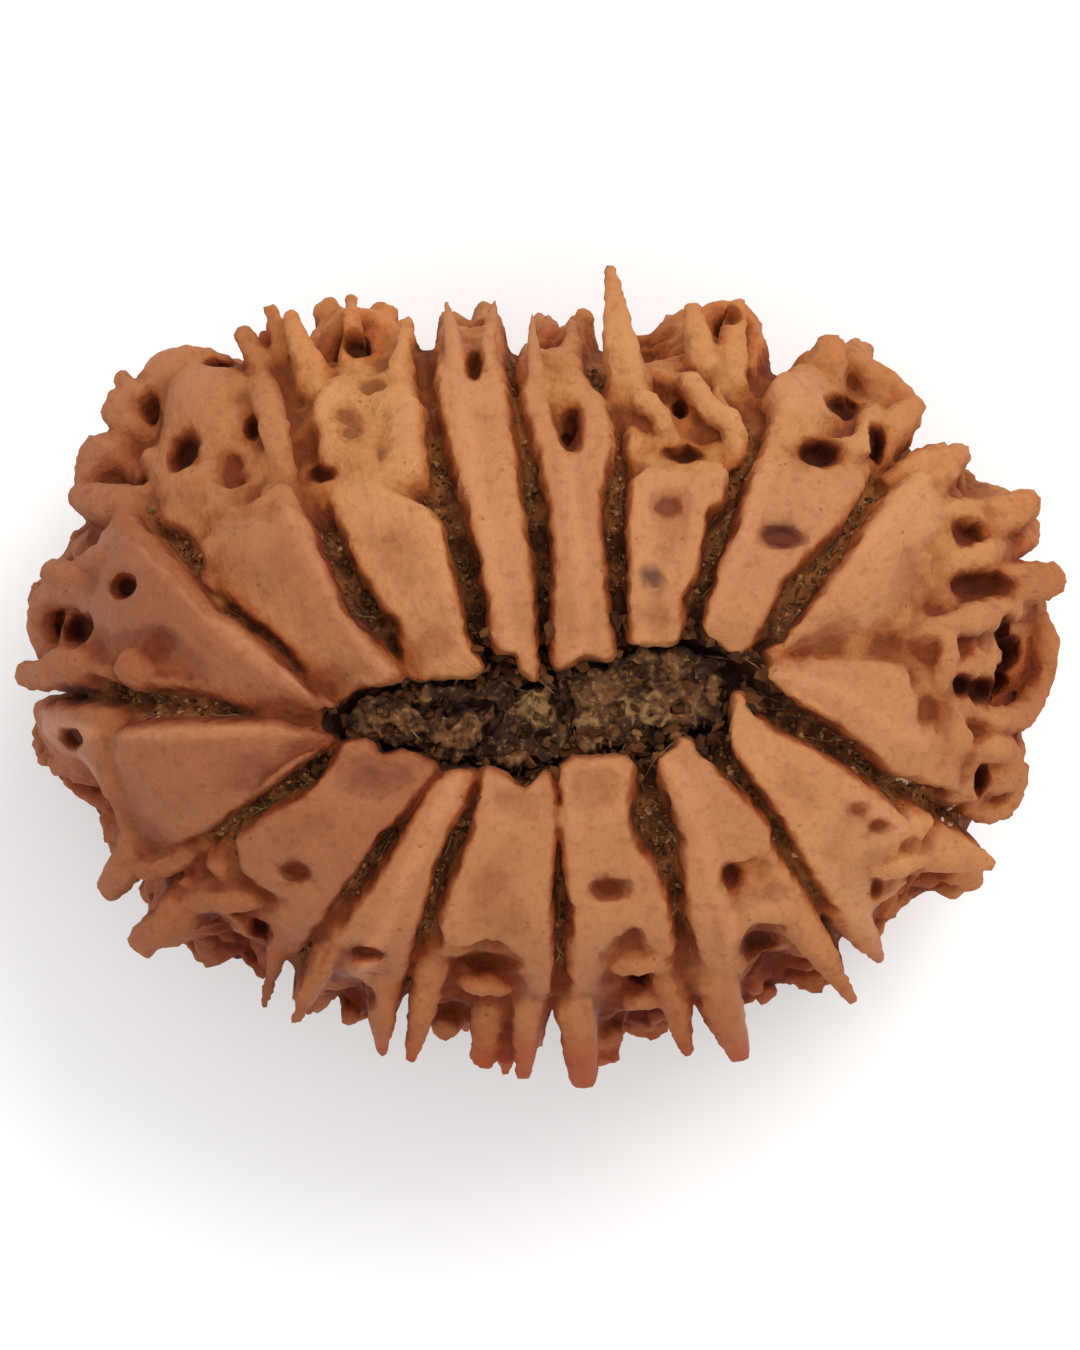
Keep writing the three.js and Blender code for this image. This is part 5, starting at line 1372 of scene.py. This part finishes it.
crumb_mesh.materials.append(crumb_material())
crumbs = place_object("crumbs", crumb_mesh)
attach(crumbs, "root")


# The strands. Dry fibres of the pulp, as thin as hairs, that run along the grooves and lie across
# the pith, each stuck at one end.
STRAND_SEED = 47
GROOVE_STRANDS = 300
SLOT_STRANDS = 60
STRAND_LIFT = 0.12
dice = np.random.default_rng(STRAND_SEED)
strands = bpy.data.curves.new("strands", "CURVE")
strands.dimensions = "3D"
strands.bevel_depth = 1
strands.bevel_resolution = 0
strands.use_fill_caps = True


def add_strand(spot, along, length, lift, radius):
    """One fibre from a spot on the skin, wavering as it runs."""
    facing = outwards[spot]
    points = []
    for step in np.linspace(0, 1, 4):
        sway = dice.normal(size=3) * 0.04 * length
        height = lift * (0.3 + 2.8 * step * (1 - step))
        point = skin_points[spot] + along * length * step + sway * step + facing * height
        points.append(settled(point, STRAND_LIFT))
    add_bar(strands, points, [radius * 0.6, radius, radius, radius * 0.3])
    strands.splines[-1].resolution_u = 2


for spot in chosen(groove_spots, GROOVE_STRANDS):
    middle = np.append(UPPER_POLE["centre"], skin_points[spot][2])
    radial = skin_points[spot] - middle
    radial[0] *= 0.55
    radial -= outwards[spot] * (radial @ outwards[spot])
    along = radial / np.linalg.norm(radial) + 0.3 * dice.normal(size=3)
    add_strand(spot, along / np.linalg.norm(along), dice.uniform(0.4, 1.3), dice.uniform(0.02, 0.18),
               dice.uniform(0.01, 0.024))
for spot in chosen(slot_spots, SLOT_STRANDS):
    along = dice.normal(size=3) * (1, 1, 0.3)
    add_strand(spot, along / np.linalg.norm(along), dice.uniform(0.8, 2.2), dice.uniform(0.6, 1.3),
               dice.uniform(0.02, 0.045))


def strand_material():
    """Dry fibre, straw to grey-brown."""
    look = Look("dry_fibre", 0.7, 0.5)
    patches = look.spread(look.cloud(1200, 2), 0.35, 0.65)
    return look.finished(look.mix(patches, srgb(66, 40, 20), srgb(128, 90, 50)))


strand_mesh = mesh_from(place_object("strands", strands))
into_frame(strand_mesh)
strand_mesh.materials.clear()
strand_mesh.materials.append(strand_material())
fibres = place_object("fibres", strand_mesh)
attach(fibres, "root")


# The floor, the lights and the camera. The camera looks straight down through a long lens.
FLOOR_SIZE = 6.0
FLOOR_COLOUR = (0.95, 0.95, 0.95, 1)
PICTURE_HEIGHT = 1350
PICTURE_CENTRE = (540, 675)
PLAN_ZERO_PIXEL = (538, 680)
MM_PER_PIXEL = 36.0 / 1036
LENS = 500
SENSOR = 36
RIM_HEIGHT = 0.0135

bm = bmesh.new()
bmesh.ops.create_grid(bm, x_segments=1, y_segments=1, size=FLOOR_SIZE / 2)
floor_mesh = mesh_of(bm, "floor")
floor = place_object("floor", floor_mesh)
floor_mesh.materials.append(Look("pale_floor", 0.9, 0.5).finished(FLOOR_COLOUR))


def soft_light(name, place, size, power, colour):
    light = bpy.data.lights.new(name, "AREA")
    light.shape = "DISK"
    light.size = size
    light.energy = power
    light.color = colour
    lamp = place_object(name, light)
    lamp.location = place
    lamp.rotation_euler = (-Vector(place)).to_track_quat("-Z", "Y").to_euler()


soft_light("key_light", (0.45, 0.65, 1.1), 0.8, 9, (1.0, 0.98, 0.95))
soft_light("fill_light", (-0.6, -0.6, 1.2), 1.2, 2, (1.0, 0.99, 0.98))
world = bpy.data.worlds.new("studio")
world.use_nodes = True
world.node_tree.nodes["Background"].inputs["Color"].default_value = (1, 1, 1, 1)
world.node_tree.nodes["Background"].inputs["Strength"].default_value = 1.0
bpy.context.scene.world = world
bpy.context.scene.view_settings.view_transform = "Standard"

view_centre = Vector((
    (PICTURE_CENTRE[0] - PLAN_ZERO_PIXEL[0]) * MM_PER_PIXEL * MM + plan_shift.x,
    (PLAN_ZERO_PIXEL[1] - PICTURE_CENTRE[1]) * MM_PER_PIXEL * MM + plan_shift.y,
    RIM_HEIGHT,
))
view_height = PICTURE_HEIGHT * MM_PER_PIXEL * MM
camera_data = bpy.data.cameras.new("camera")
camera_data.lens = LENS
camera_data.sensor_width = SENSOR
camera = place_object("camera", camera_data)
camera.location = view_centre + Vector((0, 0, view_height * LENS / SENSOR))
bpy.context.scene.camera = camera
